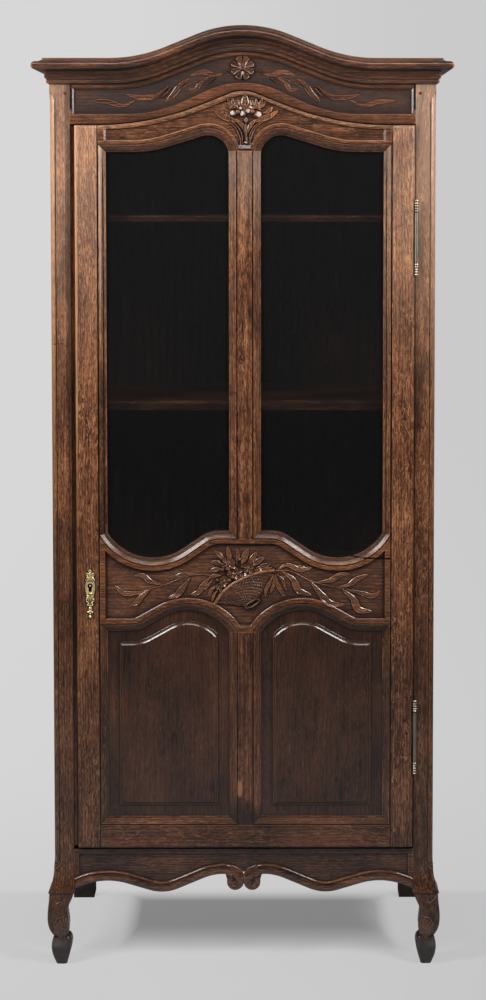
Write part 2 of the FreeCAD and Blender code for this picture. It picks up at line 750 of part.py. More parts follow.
def make_keeper():
    stop_y0 = door_back + 1.5
    keeper_x = -inner_edge + thin_board
    batten = box(-inner_edge, keeper_x, stop_y0, stop_y0 + batten_depth, batten_foot, door_top_flat)
    lip_x, lip_y0 = -inner_edge + batten_lip, front_plane + lip_setback
    lip = box(-inner_edge, lip_x, lip_y0, stop_y0, batten_foot, door_top_flat)
    keeper_y = (stop_y0 + 1.5, stop_y0 + 18.0)
    keeper = box(keeper_x, keeper_x + 1.5, *keeper_y, bolt_low - 22.0, bolt_high + 22.0)
    mortise = box(keeper_x - 14.0, keeper_x + 2.0, door_back + bolt_near - 1.0, door_back + bolt_far + 1.0,
                  bolt_low - 1.0, bolt_high + 1.0)
    parts["strike_plate"] = keeper.cut(mortise)
    parts["door_stop_batten"] = batten.fuse(lip).cut(mortise)


# ---- lift-off barrel hinges: the post's half carries the pin, the door's half turns on it
finial_length = 29.0
finial_core = 2.3
bead_pitch = 5.4
barrel_split = 0.3
pin_depth = 12.0
leaf_margin = 6.0


def finial(z, direction):
    # a turned end: four rings and a ball on a thin core
    axis = Vector(0, 0, direction)
    shapes = [Part.makeCylinder(finial_core, finial_length - 3.0, Vector(hinge_x, hinge_y, z), axis)]
    for ring in range(4):
        height = z + direction * (3.4 + ring * bead_pitch)
        shapes.append(Part.makeTorus(finial_core - 0.3, 1.7, Vector(hinge_x, hinge_y, height), axis))
    tip = z + direction * (finial_length - 3.1)
    shapes.append(Part.makeSphere(3.1, Vector(hinge_x, hinge_y, tip)))
    return fused(shapes)


def make_hinge(name):
    middle = hinge_centres[name]
    half = hinge_length / 2 - finial_length
    pin_top = middle + half - pin_depth
    low = upright(hinge_x, hinge_y, middle - half, middle, hinge_radius).fuse(finial(middle - half, -1))
    low = low.fuse(upright(hinge_x, hinge_y, middle, pin_top, hinge_pin_radius))
    post_leaf = box(hinge_x - 1.0, hinge_x + 1.0, hinge_y, front_plane + 24.0,
                    middle - half + leaf_margin, middle - leaf_margin)
    parts["right_front_post"] = parts["right_front_post"].cut(post_leaf)
    parts[name + "_hinge_post_leaf"] = low.fuse(post_leaf).removeSplitter()
    high = upright(hinge_x, hinge_y, middle + barrel_split, middle + half, hinge_radius)
    high = high.fuse(finial(middle + half, 1))
    door_leaf = box(door_right - 1.5, door_right, hinge_y, door_back - 3.0,
                    middle + leaf_margin, middle + half - leaf_margin)
    bore = upright(hinge_x, hinge_y, middle - 1, pin_top + 1.0, hinge_pin_radius + pin_clearance)
    parts["hinge_stile"] = parts["hinge_stile"].cut(door_leaf)
    parts[name + "_hinge_door_leaf"] = high.fuse(door_leaf).cut(bore).removeSplitter()


# ---- carcass
def make_carcass():
    for name, shape in (("front_post", front_post()), ("rear_post", rear_post())):
        parts["left_" + name] = shape
        parts["right_" + name] = other_side(shape)
    parts["frieze_board"] = frieze_board()
    parts["apron_board"] = apron_board()
    parts["cornice_front"] = cornice_front()
    side_cornice = cornice_side()
    parts["cornice_left"] = side_cornice
    parts["cornice_right"] = other_side(side_cornice)
    board_middle = front_plane + board_thickness / 2 + 4.0
    for side, socket in ((-1, "left_front_post"), (1, "right_front_post")):
        ends = sorted(side * x for x in (inner_edge - 1, inner_edge + tenon_length))
        join("frieze_board", socket, tenon_along_x(*ends, board_middle, *frieze_tenon))
        join("apron_board", socket, tenon_along_x(*ends, board_middle, *apron_tenon))
    parts["apron_board"] = parts["apron_board"].cut([parts["left_front_post"], parts["right_front_post"]])
    pegs = []
    for x in (-peg_x, peg_x):
        pegs.append(rod(x, front_plane - 0.4, front_plane + 34.0, peg_z, peg_radius))
    for board in ("frieze_board", "left_front_post", "right_front_post"):
        parts[board] = parts[board].cut(pegs)
    parts["frame_pegs"] = Part.makeCompound(pegs)


def make_side_frames():
    y0, y1 = front_plane + post_depth, back_plane - rear_post_size
    x0 = -half_width + side_setback
    for level, (z0, z1) in side_rails.items():
        rail = side_rail(z0, z1, scalloped=level == "bottom")
        low, high = (z0 + 50, z1 - 8) if level == "bottom" else (z0 + 12, z1 - 12)
        middle = x0 + board_thickness / 2 + 1.0
        front_end, rear_end = y0 - side_tenon_length, y1 + side_tenon_length
        for start, end, post in ((front_end, y0 + 1, "front_post"), (y1 - 1, rear_end, "rear_post")):
            tenon = box(middle - tenon_thickness / 2, middle + tenon_thickness / 2, start, end, low, high)
            rail = rail.fuse(tenon)
            parts["left_" + post] = parts["left_" + post].cut(tenon)
            parts["right_" + post] = parts["right_" + post].cut(other_side(tenon))
        parts["left_side_%s_rail" % level] = rail
    for level, (z0, z1) in side_panels.items():
        panel = raised_panel_x(x0, y0, y1, z0, z1)
        for post in ("front_post", "rear_post"):
            parts["left_" + post] = parts["left_" + post].cut(panel)
            parts["right_" + post] = parts["right_" + post].cut(other_side(panel))
        for rail in side_rails:
            parts["left_side_%s_rail" % rail] = parts["left_side_%s_rail" % rail].cut(panel)
        parts["left_side_%s_panel" % level] = panel
    for name in [n for n in parts if n.startswith("left_side_")]:
        parts[name.replace("left_", "right_", 1)] = other_side(parts[name])


back_rails = {"back_top_rail": (1900.0, post_top), "back_bottom_rail": (205.0, 300.0)}
back_stile_half = 45.0
back_setback = 4.0


def make_back():
    y0, y1 = back_plane - back_setback - board_thickness, back_plane - back_setback
    edge = half_width - rear_post_size
    groove_y = (y0 + 7.0, y0 + 15.0)
    for name, (z0, z1) in back_rails.items():
        parts[name] = box(-edge, edge, y0, y1, z0, z1)
        for side, post in ((-1, "left_rear_post"), (1, "right_rear_post")):
            ends = sorted(side * x for x in (edge - 1, edge + tenon_length))
            join(name, post, tenon_along_x(*ends, (y0 + y1) / 2, z0 + 12, z1 - 12))
    low, high = back_rails["back_bottom_rail"][1], back_rails["back_top_rail"][0]
    parts["back_centre_stile"] = box(-back_stile_half, back_stile_half, y0, y1, low, high)
    for side, name in ((-1, "left_back_panel"), (1, "right_back_panel")):
        x0, x1 = sorted((side * (back_stile_half - groove_depth), side * (edge + groove_depth)))
        panel = box(x0, x1, *groove_y, low - groove_depth, high + groove_depth)
        parts[name] = panel
        rear = "left_rear_post" if side < 0 else "right_rear_post"
        for neighbour in (rear, "back_top_rail", "back_bottom_rail", "back_centre_stile"):
            parts[neighbour] = parts[neighbour].cut(panel)


top_board_top = 2003.0
cleat_height = 25.0
notch_play = 0.5


def make_boards():
    inner_x = half_width - side_setback - board_thickness
    back_y = back_plane - back_setback - board_thickness
    posts = []
    for side in (-1, 1):
        x0, x1 = sorted((side * (inner_edge - notch_play), side * half_width))
        rear_of_post = front_plane + post_depth + notch_play
        posts.append(box(x0, x1, front_plane, rear_of_post, 0, overall_height))
        x0, x1 = sorted((side * (half_width - rear_post_size - notch_play), side * half_width))
        front_of_post = back_plane - rear_post_size - notch_play
        posts.append(box(x0, x1, front_of_post, back_plane, 0, overall_height))
    stop = box(-inner_edge - 1, -inner_edge + thin_board + 2.5, door_back, door_back + batten_depth + 2.5,
               floor_board_top, 1900)
    behind_front_board = front_plane + board_thickness
    levels = [("bottom_board", floor_board_top, thin_board, behind_front_board),
              ("top_board", top_board_top, thin_board, behind_front_board)]
    for name, top in shelf_tops.items():
        levels.append((name, top, shelf_thickness[name], shelf_front))
    for name, top, thickness, front in levels:
        board = box(-inner_x, inner_x, front, back_y, top - thickness, top)
        if name in shelf_tops:
            nosing = [e for e in board.Edges
                      if all(abs(v.Y - front) < 1e-6 and abs(v.Z - top) < 1e-6 for v in e.Vertexes)]
            board = board.makeFillet(thickness * 0.4, nosing)
        parts[name] = board.cut(posts + [stop])
    y0, y1 = front_plane + post_depth, back_plane - rear_post_size
    cleats = []
    for name, top in shelf_tops.items():
        under = top - shelf_thickness[name]
        cleats.append(box(-inner_x, -inner_x + thin_board, y0, y1, under - cleat_height, under))
    parts["left_shelf_cleats"] = Part.makeCompound(cleats)
    parts["right_shelf_cleats"] = other_side(parts["left_shelf_cleats"])


def main():
    os.makedirs("parts", exist_ok=True)
    make_carcass()
    make_side_frames()
    make_back()
    make_boards()
    make_door()
    make_door_fillings()
    make_lock()
    make_keeper()
    for name in hinge_centres:
        make_hinge(name)
    for name, shape in parts.items():
        if not shape.isValid():
            print("not valid:", name)
        shape.exportStep("parts/%s.step" % name)
        print("%-26s %d solid(s) %8.1f cm3" % (name, len(shape.Solids), shape.Volume / 1000))
    print(len(parts), "nodes")


main()
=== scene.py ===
import json
import random
from math import cos, dist, pi, radians, sin, sqrt

import bpy
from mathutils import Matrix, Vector
from mathutils.bvhtree import BVHTree

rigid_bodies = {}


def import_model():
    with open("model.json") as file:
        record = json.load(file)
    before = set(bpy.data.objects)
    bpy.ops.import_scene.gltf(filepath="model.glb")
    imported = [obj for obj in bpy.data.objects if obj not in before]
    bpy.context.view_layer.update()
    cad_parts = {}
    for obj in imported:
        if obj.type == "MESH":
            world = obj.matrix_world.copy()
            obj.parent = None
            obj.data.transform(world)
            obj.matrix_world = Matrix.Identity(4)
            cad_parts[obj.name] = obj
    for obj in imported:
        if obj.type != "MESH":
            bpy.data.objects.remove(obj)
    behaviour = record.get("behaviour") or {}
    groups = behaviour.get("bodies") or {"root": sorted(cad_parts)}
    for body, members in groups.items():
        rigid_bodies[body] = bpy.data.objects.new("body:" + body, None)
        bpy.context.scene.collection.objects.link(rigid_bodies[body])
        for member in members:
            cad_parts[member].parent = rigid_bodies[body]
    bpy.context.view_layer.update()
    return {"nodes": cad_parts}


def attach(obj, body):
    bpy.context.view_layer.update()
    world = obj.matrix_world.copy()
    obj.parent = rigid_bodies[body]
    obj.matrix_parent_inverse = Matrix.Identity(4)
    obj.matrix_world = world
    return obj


for leftover in list(bpy.data.objects):
    bpy.data.objects.remove(leftover)
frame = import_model()
nodes = frame["nodes"]
scene = bpy.context.scene
mm = 0.001
print("frame loaded:", len(nodes), "nodes")


# a shader socket: arithmetic on it adds the Math nodes
class Flow:
    def __init__(self, finish, socket):
        self.finish, self.socket = finish, socket

    def calc(self, operation, first, second):
        return self.finish.add("Math", {"operation": operation}, {0: first, 1: second})

    def __add__(self, other):
        return self.calc("ADD", self, other)

    def __sub__(self, other):
        return self.calc("SUBTRACT", self, other)

    def __rsub__(self, other):
        return self.calc("SUBTRACT", other, self)

    def __mul__(self, other):
        return self.calc("MULTIPLY", self, other)

    def __truediv__(self, other):
        return self.calc("DIVIDE", self, other)

    def __rtruediv__(self, other):
        return self.calc("DIVIDE", other, self)

    def __abs__(self):
        return self.calc("ABSOLUTE", self, 0.0)

    __radd__ = __add__
    __rmul__ = __mul__

    def clamp(self, low, high, start=0.0, end=1.0):
        # rises from start to end while the socket goes from low to high
        return self.finish.add("MapRange", {"interpolation_type": "SMOOTHSTEP"},
                               {"Value": self, "From Min": low, "From Max": high, "To Min": start, "To Max": end})


# a tree of nodes: a material, or the world around the cupboard
class Finish:
    def __init__(self, name, world=False):
        self.owner = (bpy.data.worlds if world else bpy.data.materials).new(name)
        self.owner.use_nodes = True
        self.tree = self.owner.node_tree
        self.shader = self.tree.nodes["Background" if world else "Principled BSDF"]
        self.place = self.add("TexCoord", out="Generated" if world else "Object")

    def add(self, kind, settings=None, sockets=None, out=0):
        node = self.tree.nodes.new("ShaderNode" + kind)
        for key, value in (settings or {}).items():
            if key == "stops":
                ramp = node.color_ramp
                while len(ramp.elements) < len(value):
                    ramp.elements.new(1)
                for element, (position, colour) in zip(ramp.elements, value):
                    element.position, element.color = position, (*colour, 1)
            else:
                setattr(node, key, value)
        self.feed(node, sockets or {})
        return Flow(self, node.outputs[out])

    def feed(self, node, sockets):
        for key, value in sockets.items():
            if isinstance(value, Flow):
                self.tree.links.new(value.socket, node.inputs[key])
            else:
                node.inputs[key].default_value = value

    def mix(self, share, first, second):
        # colours, each a link or three numbers
        first, second = (c if isinstance(c, Flow) else (*c, 1) for c in (first, second))
        return self.add("Mix", {"data_type": "RGBA"}, {0: share, 6: first, 7: second}, out=2)

    def spread(self, vector, scale=(1, 1, 1), move=(0, 0, 0), turn=(0, 0, 0)):
        return self.add("Mapping", {}, {"Vector": vector, "Scale": scale, "Location": move, "Rotation": turn})

    def noise(self, vector, scale, detail=3, rough=0.55, warp=0.0, stretch=None):
        if stretch is not None:
            vector = self.spread(vector, (1, 1, stretch))
        return self.add("TexNoise", {},
                        {"Vector": vector, "Scale": scale, "Detail": detail, "Roughness": rough, "Distortion": warp})

    def bump(self, height, strength, distance, under=None):
        below = {} if under is None else {"Normal": under}
        return self.add("Bump", {}, {"Height": height, "Strength": strength, "Distance": distance, **below})

    def axis(self, letter):
        return self.add("SeparateXYZ", {}, {0: self.place}, out=letter)

    def dot(self, first, second):
        return self.add("VectorMath", {"operation": "DOT_PRODUCT"}, {0: first, 1: second}, out="Value")

    def hollow(self, reach):
        # 0 in the open, and towards 1 in a corner or a groove
        return 1.0 - self.add("AmbientOcclusion", {"samples": 6}, {"Distance": reach}, out="AO")

    def set(self, **sockets):
        # underscores stand for the spaces in the shader's socket names
        self.feed(self.shader, {key.replace("_", " "): value for key, value in sockets.items()})


# oak
oakLook = {
    "dark": (0.01, 0.005, 0.0036),   # pores, old wax, and painted shade in corners and grooves
    "deep": (0.046, 0.0175, 0.0095),
    "middle": (0.14, 0.053, 0.024),
    "light": (0.38, 0.17, 0.076),    # worn edges with a painted highlight, and ray flecks
    "wornAndLit": (0.46, 0.225, 0.1),
    "paintedLight": (0.8, 0.62, 0.47),   # painted light: the upper parts, nearer the lamps, and a painted highlight on a moulding
    # a black line: real cracks, and painted shade in quirks
    "blackLine": (0.002, 0.0015, 0.001),
    "hoof": ((0.022, 0.02, 0.019), (0.095, 0.092, 0.095)),
    "edgeWidth": 0.0021, "corniceEdge": 2.2,
    "ringScale": 52, "ringSpread": 10, "reliefDepth": 0.0005,
}
weights = {       # how much each part of the figure counts
    "fibres": 1.1, "bands": 0.42, "rings": 0.16, "clouds": 0.75, "pores": 0.8, "flecks": 0.6, "edges": 0.6,
}
grainNoise = {    # scale, detail, roughness, warp, and the stretch along the grain
    "wander": (5, 2, 0.55, 0.0, 0.3), "fibres": (420, 5, 0.7, 0.0, 0.12), "bands": (60, 3, 0.5, 0.0, 0.12),
    "clouds": (9, 5, 0.62, 0.0, 0.5), "mottle": (260, 3, 0.6, 0.9, 0.28), "pores": (560, 3, 0.6, 0.0, 0.14),
    "fleckPlaces": (11, 3, 0.55, 0.0, 0.5), "rays": (66, 2, 0.5, 1.0, 0.22), "rayPlaces": (24, 2, 0.55, 0.0, 0.4),
}
grainTurns = {"z": (0, 0, 0), "x": (0, pi / 2, 0), "y": (pi / 2, 0, 0)}


def oak(name, grain, seed, tone=0.0, flecks=0.5, edges=1.0, rough=0.36, wax=(0.6, 0.22),
        grooves=(0.006, 0.07, 0.36, 0.97), board=""):
    chance = random.Random(seed)
    finish = Finish(name)
    wax, figure = waxes.get(board, wax), figures.get(board, 1.0)
    shift = tuple(chance.uniform(-4, 4) for _ in range(3))
    plank = finish.spread(finish.place, turn=grainTurns[grain], move=shift)
    wander = finish.noise(plank, *grainNoise["wander"])
    along = finish.add("VectorMath", {"operation": "MULTIPLY_ADD"}, {0: wander, 1: (0.03, 0.03, 0.0), 2: plank})
    # growth rings, fibres, open pores and the flecks that cross them
    rings = finish.add("TexWave", {"wave_type": "RINGS", "rings_direction": "Z"}, {
        "Vector": finish.spread(along, (1, 1, 0.035)), "Detail": 3.0, "Detail Scale": 1.6, "Distortion": 5.0,
        "Scale": oakLook["ringScale"] + oakLook["ringSpread"] * chance.random()}, out="Fac")
    fibres, bands, mottle, poreField = (finish.noise(along, *grainNoise[key])
                                        for key in ("fibres", "bands", "mottle", "pores"))
    clouds, fleckPlaces = (finish.noise(plank, *grainNoise[key]) for key in ("clouds", "fleckPlaces"))
    pores = poreField.clamp(0.52, 0.64) * rings.clamp(0.2, 0.8, 0.35, 1.0)
    fleck = mottle.clamp(0.52, 0.64) * fleckPlaces.clamp(0.38, 0.62) * flecks
    # soft edges: the bevel rounds their shading, and their colour is lighter from wear and a painted highlight;
    # corners get dark old wax and painted shade
    width = oakLook["corniceEdge"] if board.startswith("cornice") else 1.0
    soft = finish.add("Bevel", {"samples": 4}, {"Radius": oakLook["edgeWidth"] * width})
    normal = finish.add("NewGeometry", out="Normal")
    reach, start, full, darkest = grooves
    groove = finish.hollow(reach).clamp(start, full)
    edge = (1.0 - finish.dot(soft, normal)).clamp(0.015, 0.16) * (1.0 - groove) * edges
    level = (clouds - 0.5) * weights["clouds"] + (0.5 + tone)
    for part, key in ((fibres, "fibres"), (bands, "bands"), (rings, "rings")):
        level = level + (part - 0.5) * (weights[key] * figure)
    wood = finish.add("ValToRGB", {"stops": [
        (0.1, oakLook["dark"]), (0.34, oakLook["deep"]), (0.6, oakLook["middle"]), (0.98, oakLook["light"])]},
        {"Fac": level}, out="Color")

    def lay(share, colour):
        # a share of a colour over the wood
        nonlocal wood
        wood = finish.mix(share, wood, oakLook[colour] if isinstance(colour, str) else colour)

    lay(fleck * weights["flecks"], "light")
    lay(pores * (weights["pores"] * figure), "dark")
    # wear and a painted highlight on the edges
    lay(edge * weights["edges"], "light")
    across, depth, height = (finish.axis(letter) for letter in "XYZ")
    if board in sunkFields:
        # old wax and painted shade lie in a field that is cut below the board's face
        face, ground, share, fieldColour = sunkFields[board]
        lay(depth.clamp(face, ground, 0.0, share) * clouds.clamp(0.25, 0.65, 1.0, 0.68), fieldColour)
    if board in sunkFields or board.endswith("door_panel"):
        # and painted shade is thickest beside the walls of the field and of the raised panels
        lay(finish.hollow(0.028).clamp(0.02, 0.22) * 0.75, "dark")
    # old wax and painted shade in the grooves, darker the more closed in a point is
    lay(groove * darkest, "dark")
    if board in wornAndLit:
        # wear on edges that hands and cloths reach, and a painted highlight on the sides that face the lamps,
        # stronger higher up; by the way they face
        facing, start, share = wornAndLit[board]
        patchy = fibres.clamp(0.38, 0.58, 0.35, 1.0) * height.clamp(0.85, 1.6, 0.25, 1.0)
        lay(finish.dot(normal, facing).clamp(start, 0.97) * patchy * share, "wornAndLit")
    if board in paintedLight:
        # painted light: lighter towards the top, nearer the lamps
        low, high, share = paintedLight[board]
        lay(height.clamp(low, high, 0.0, share) * clouds.clamp(0.25, 0.6, 0.6, 1.0), "paintedLight")
    # painted shade: darker lower down and at the cornice's crest
    for low, high, first, last in shadeByHeight.get(board, ()):
        lay(height.clamp(low, high, first, last), "dark")
    if board in rayed:
        wavy = abs(finish.noise(along, *grainNoise["rays"]) - 0.5).clamp(0.006, 0.02, 1.0, 0.0)
        here = finish.noise(plank, *grainNoise["rayPlaces"]).clamp(0.5, 0.6)
        lay(wavy * here * rayed[board], "wornAndLit")
    if board.endswith("front_post"):
        # the hoofs are grey from floors and mops
        grey = finish.mix(height.clamp(0.034, 0.056) * clouds.clamp(0.3, 0.6), *oakLook["hoof"])
        lay(height.clamp(0.045, 0.075, 0.8, 0.0), grey)
    # cracks, and painted shade lines in the quirks
    for (startX, startZ), (endX, endZ), width in cracksAndShadeLines.get(board, ()):
        length = dist((startX, startZ), (endX, endZ))
        runX, runZ = (endX - startX) / length, (endZ - startZ) / length
        fromX, fromZ = across - startX * mm, height - startZ * mm
        travel = (fromX * runX + fromZ * runZ) / (length * mm)
        aside = abs(fromX * runZ - fromZ * runX + (fibres - 0.5) * 0.003)
        darkLine = aside.clamp(width * 0.3 * mm, width * 0.6 * mm, 1.0, 0.0)
        lay(darkLine * travel.clamp(-0.02, 0.06) * travel.clamp(0.9, 1.02, 1.0, 0.0), "blackLine")
    for (middleX, middleZ), (wide, tall), share, colour in patches.get(board, ()):
        farX, farZ = (across - middleX * mm) / (wide * mm), (height - middleZ * mm) / (tall * mm)
        ragged = (clouds - 0.5) * 1.6 + (bands - 0.5) * 1.6
        lay((farX * farX + farZ * farZ + ragged).clamp(0.2, 1.2, share, 0.0), colour)
    relief = fibres * 0.5 + bands * 0.3 - pores * 0.9
    finish.set(Base_Color=wood, Roughness=(fibres * 0.2 + pores * 0.25 + (rough - 0.12)) + groove * 0.15,
               Normal=finish.bump(relief, 0.4, oakLook["reliefDepth"], soft), Specular_IOR_Level=0.1,
               Coat_Weight=fibres.clamp(0.36, 0.58, 0.5 * wax[0], wax[0]), Coat_Roughness=wax[1])
    return finish.owner


def bothSides(table):
    # a star in a name stands for left and then right
    return {name.replace("*", side): value for name, value in table.items()
            for side in (("left", "right") if "*" in name else ("",))}


boards = bothSides({    # grain, tone and flecks; a board's place here sets its seed
    "left_front_post": ("z", 0.01, 0.9), "right_front_post": ("z", -0.01, 0.9), "*_rear_post": ("z", -0.14, 0.2),
    "frieze_board": ("x", -0.06, 0.2), "apron_board": ("x", -0.16, 0.2),
    "cornice_front": ("x", -0.15, 0.2), "cornice_*": ("y", -0.1, 0.2),
    "lock_stile": ("z", 0.05, 1.0), "hinge_stile": ("z", 0.02, 1.0),
    "door_top_rail": ("x", -0.08, 0.5), "door_middle_rail": ("x", 0.0, 0.4), "door_bottom_rail": ("x", -0.11, 0.4),
    "upper_muntin": ("z", -0.03, 0.6), "lower_muntin": ("z", -0.1, 0.4),
    "left_door_panel": ("z", -0.225, 0.1), "right_door_panel": ("z", -0.265, 0.1),
    "*_side_top_rail": ("y", -0.08, 0.3),
    "left_side_middle_rail": ("y", -0.08, 0.3), "right_side_middle_rail": ("y", -0.09, 0.3),
    "*_side_bottom_rail": ("y", -0.12, 0.3), "*_side_upper_panel": ("z", -0.13, 0.3),
    "*_side_lower_panel": ("z", -0.16, 0.3),
    "back_top_rail": ("x", -0.14, 0.1), "back_bottom_rail": ("x", -0.15, 0.1), "back_centre_stile": ("z", -0.14, 0.1),
    "left_back_panel": ("z", -0.18, 0.0), "right_back_panel": ("z", -0.19, 0.0),
    "bottom_board": ("x", -0.16, 0.0), "top_board": ("x", -0.16, 0.0),
    "lower_shelf": ("x", -0.12, 0.0), "middle_shelf": ("x", -0.1, 0.0), "upper_shelf": ("x", -0.1, 0.0),
    "*_shelf_cleats": ("y", -0.16, 0.0), "door_stop_batten": ("z", -0.16, 0.0), "frame_pegs": ("y", -0.14, 0.0),
    "*_glazing_beads": ("z", -0.13, 0.1),
})
sunkFields = {    # the board's face and the field's ground, in metres, and the share and colour of the old wax and painted shade; the frieze's grey also stands for a painted reflection
    "frieze_board": (-0.1968, -0.194, 0.96, (0.019, 0.0155, 0.015)),
    "door_top_rail": (-0.2075, -0.2064, 0.34, "dark"),
    "door_middle_rail": (-0.2062, -0.2046, 0.52, (0.022, 0.018, 0.017)),
    "apron_board": (-0.1975, -0.1964, 0.3, "dark"),
}
wornAndLit = {        # the way a worn and lit edge faces, where the lightening starts, and its share: wear with a painted highlight
    "lock_stile": ((-1, 0, 0), 0.15, 0.45), "door_top_rail": ((0, 0, 1), 0.4, 0.5),
    "left_front_post": ((-0.707, -0.707, 0), 0.8, 0.4), "right_front_post": ((0.707, -0.707, 0), 0.8, 0.3),
    "frieze_board": ((0, 0, -1), 0.3, 0.3),
}
paintedLight = {      # painted light, lighter towards the top: from nothing at one height to a share at another, in metres
    "left_front_post": (1.15, 1.85, 0.1), "right_front_post": (1.15, 1.85, 0.13),
    "lock_stile": (1.2, 1.85, 0.085), "hinge_stile": (1.2, 1.85, 0.085), "upper_muntin": (1.6, 1.85, 0.12),
}
waxes = bothSides({     # how much fresh wax, and how rough it is, where it is not as on the other boards
    "cornice_front": (1.0, 0.14), "cornice_*": (1.0, 0.14), "*_door_panel": (0.62, 0.14),
    "door_middle_rail": (0.34, 0.22), "door_top_rail": (0.7, 0.18), "door_bottom_rail": (0.5, 0.2),
})
figures = bothSides({   # how strongly the grain shows, where it is not 1
    "*_door_panel": 0.4, "*_side_upper_panel": 0.7, "frieze_board": 0.8, "cornice_front": 0.8,
    "apron_board": 1.1, "door_bottom_rail": 0.8, "door_top_rail": 1.2, "upper_muntin": 1.35,
    "lock_stile": 1.3, "hinge_stile": 1.35, "left_front_post": 1.2, "right_front_post": 1.25,
})
rayed = {"hinge_stile": 0.45, "lock_stile": 0.28, "upper_muntin": 0.2, "door_top_rail": 0.2}    # the bright flecks
shadeByHeight = bothSides({    # painted shade: darker between two heights, in metres, from one share to another; lower down, away from the lamps, and at the cornice's crest
    "lock_stile": [(0.3, 1.2, 0.34, 0.0)], "hinge_stile": [(0.3, 1.25, 0.46, 0.0)],
    "lower_muntin": [(0.33, 0.39, 0.75, 0.0)], "*_rear_post": [(0.15, 0.5, 0.9, 0.0)],
    "left_front_post": [(0.1, 0.26, 0.55, 0.0), (0.3, 1.7, 0.48, 0.0)],
    "right_front_post": [(0.1, 0.26, 0.55, 0.0), (0.3, 1.75, 0.42, 0.0)],
    "cornice_front": [(2.035, 2.09, 0.0, 0.45)],
})
cracksAndShadeLines = {        # cracks, and painted shade lines in the quirks beside the mouldings and beside the frieze's ends: start, end and width, in millimetres
    "door_middle_rail": [((232, 928.5), (262, 924), 3.2), ((258, 924), (330, 922.5), 5)],
    "upper_muntin": [((-1.5, 1426), (-0.5, 1454), 2.4), ((-13.5, 700), (-13.5, 1900), 3.2),
                     ((21.5, 700), (21.5, 1900), 3.2)],
    "lower_muntin": [((-13.5, 300), (-13.5, 780), 3), ((21.5, 300), (21.5, 780), 3)],
    "left_front_post": [((-424, 1399), (-396, 1401), 1.4)],
    "lock_stile": [((-319.5, 100), (-319.5, 2000), 3.8), ((-308.3, 930), (-308.3, 1850), 3)],
    "hinge_stile": [((327.5, 100), (327.5, 2000), 3.8), ((316.3, 930), (316.3, 1850), 2.4)],
    "frieze_board": [((-378.4, 1915), (-378.4, 1994), 6), ((378.4, 1915), (378.4, 1994), 6)],
}
patches = {       # middle and size in millimetres, share and colour; the lighter strips on the lock stile's lip and the post's bead are painted highlights, and the post's dark strip beside the door is painted shade
    "upper_muntin": [((16, 1465), (9, 26), 0.55, "dark")],
    "lower_muntin": [((-9, 405), (9, 20), 0.5, "light"), ((2, 350), (34, 36), 0.6, "dark")],
    "lock_stile": [((-367.2, 1900), (3.4, 900), 0.45, "wornAndLit"), ((-310, 560), (11, 460), 0.5, "dark"),
                   ((-312, 1150), (10, 330), 0.55, "dark"), ((-314.5, 1720), (2.6, 300), 0.22, "paintedLight")],
    "hinge_stile": [((318, 560), (11, 460), 0.5, "dark")],
    "left_front_post": [((-419.5, 1900), (4, 1000), 0.2, "wornAndLit"), ((-383.5, 1500), (9, 900), 0.5, "dark")],
}
oaks = {}
for count, (name, (grain, tone, flecks)) in enumerate(boards.items()):
    oaks[name] = oak("oak_" + name, grain, 11 + count, tone, flecks, board=name)
shallow = (0.0032, 0.1, 0.52, 0.95)    # painted shade in the grooves of carved work: reach, start, full and darkest
carvedLooks = {   # carved work is waxed and brushed more: grain, seed, tone, worn edges, roughness, wax
    "rail": ("x", 91, 0.03, 1.3, 0.3, (0.8, 0.14)),
    "blooms": ("x", 98, -0.02, 1.3, 0.32, (0.55, 0.2)),
    "basket": ("x", 96, -0.12, 0.8, 0.34, (0.5, 0.18)),
    "rim": ("x", 99, 0.2, 0.8, 0.34, (0.5, 0.25)),
    "crest": ("z", 92, 0.01, 1.3, 0.28, (0.55, 0.15)),
    "fruit": ("z", 90, 0.05, 1.3, 0.34, (0.42, 0.2)),
    "frieze": ("x", 93, -0.12, 0.7, 0.32, (0.5, 0.16)),
    "cuts": ("z", 89, -0.02, 1.3, 0.28, (1.0, 0.14)),
    "knee": ("z", 95, -0.08, 1.0, 0.3, (0.8, 0.16)),
}
carved = {}
for name, (grain, seed, tone, edges, rough, wax) in carvedLooks.items():
    carved[name] = oak("oak_carved_" + name, grain, seed, tone, 0.0, edges, rough, wax, shallow)
carved["apron"] = oak("oak_carved_apron", "x", 94, -0.09, 0.1, 0.9, 0.3, (1.0, 0.12), (0.0035, 0.12, 0.6, 0.9))
# near-black strokes put in the scrolls' slits: painted shade
paintedShadeCuts = oak("oak_painted_shade_cuts", "x", 88, -0.6, 0.0, 0.0, 0.5, (0.1, 0.4), shallow)
oaks["door_stop_batten"] = oak("oak_door_stop_batten", "z", 97, -0.02, 0.2, 0.5, grooves=(0.005, 0.3, 1.0, 0.45))
print("oak:", len(oaks), "boards")


# metal and glass
def brass():
    finish = Finish("aged_brass")
    stain = finish.noise(finish.place, 180, 4, 0.6)
    fine = finish.noise(finish.place, 900, 2)
    # the ground between the scrolls is black, the plate around the keyhole is not
    sunk = finish.axis("Y").clamp(-0.2116, -0.2107) * abs(finish.axis("Z") - 0.859).clamp(0.011, 0.016, 0.35, 0.95)
    dirt = finish.hollow(0.0028).clamp(0.1, 0.48) + stain.clamp(0.62, 0.8, 0.0, 0.35) + sunk
    dirt = dirt.clamp(0.0, 1.0)
    shine = finish.mix(stain, (0.76, 0.54, 0.22), (0.95, 0.78, 0.44))
    finish.set(Base_Color=finish.mix(dirt, shine, (0.022, 0.014, 0.007)), Metallic=0.66 - dirt * 0.4,
               Roughness=fine * 0.12 + dirt * 0.3 + 0.26, Normal=finish.bump(fine, 0.15, 0.0002))
    return finish.owner


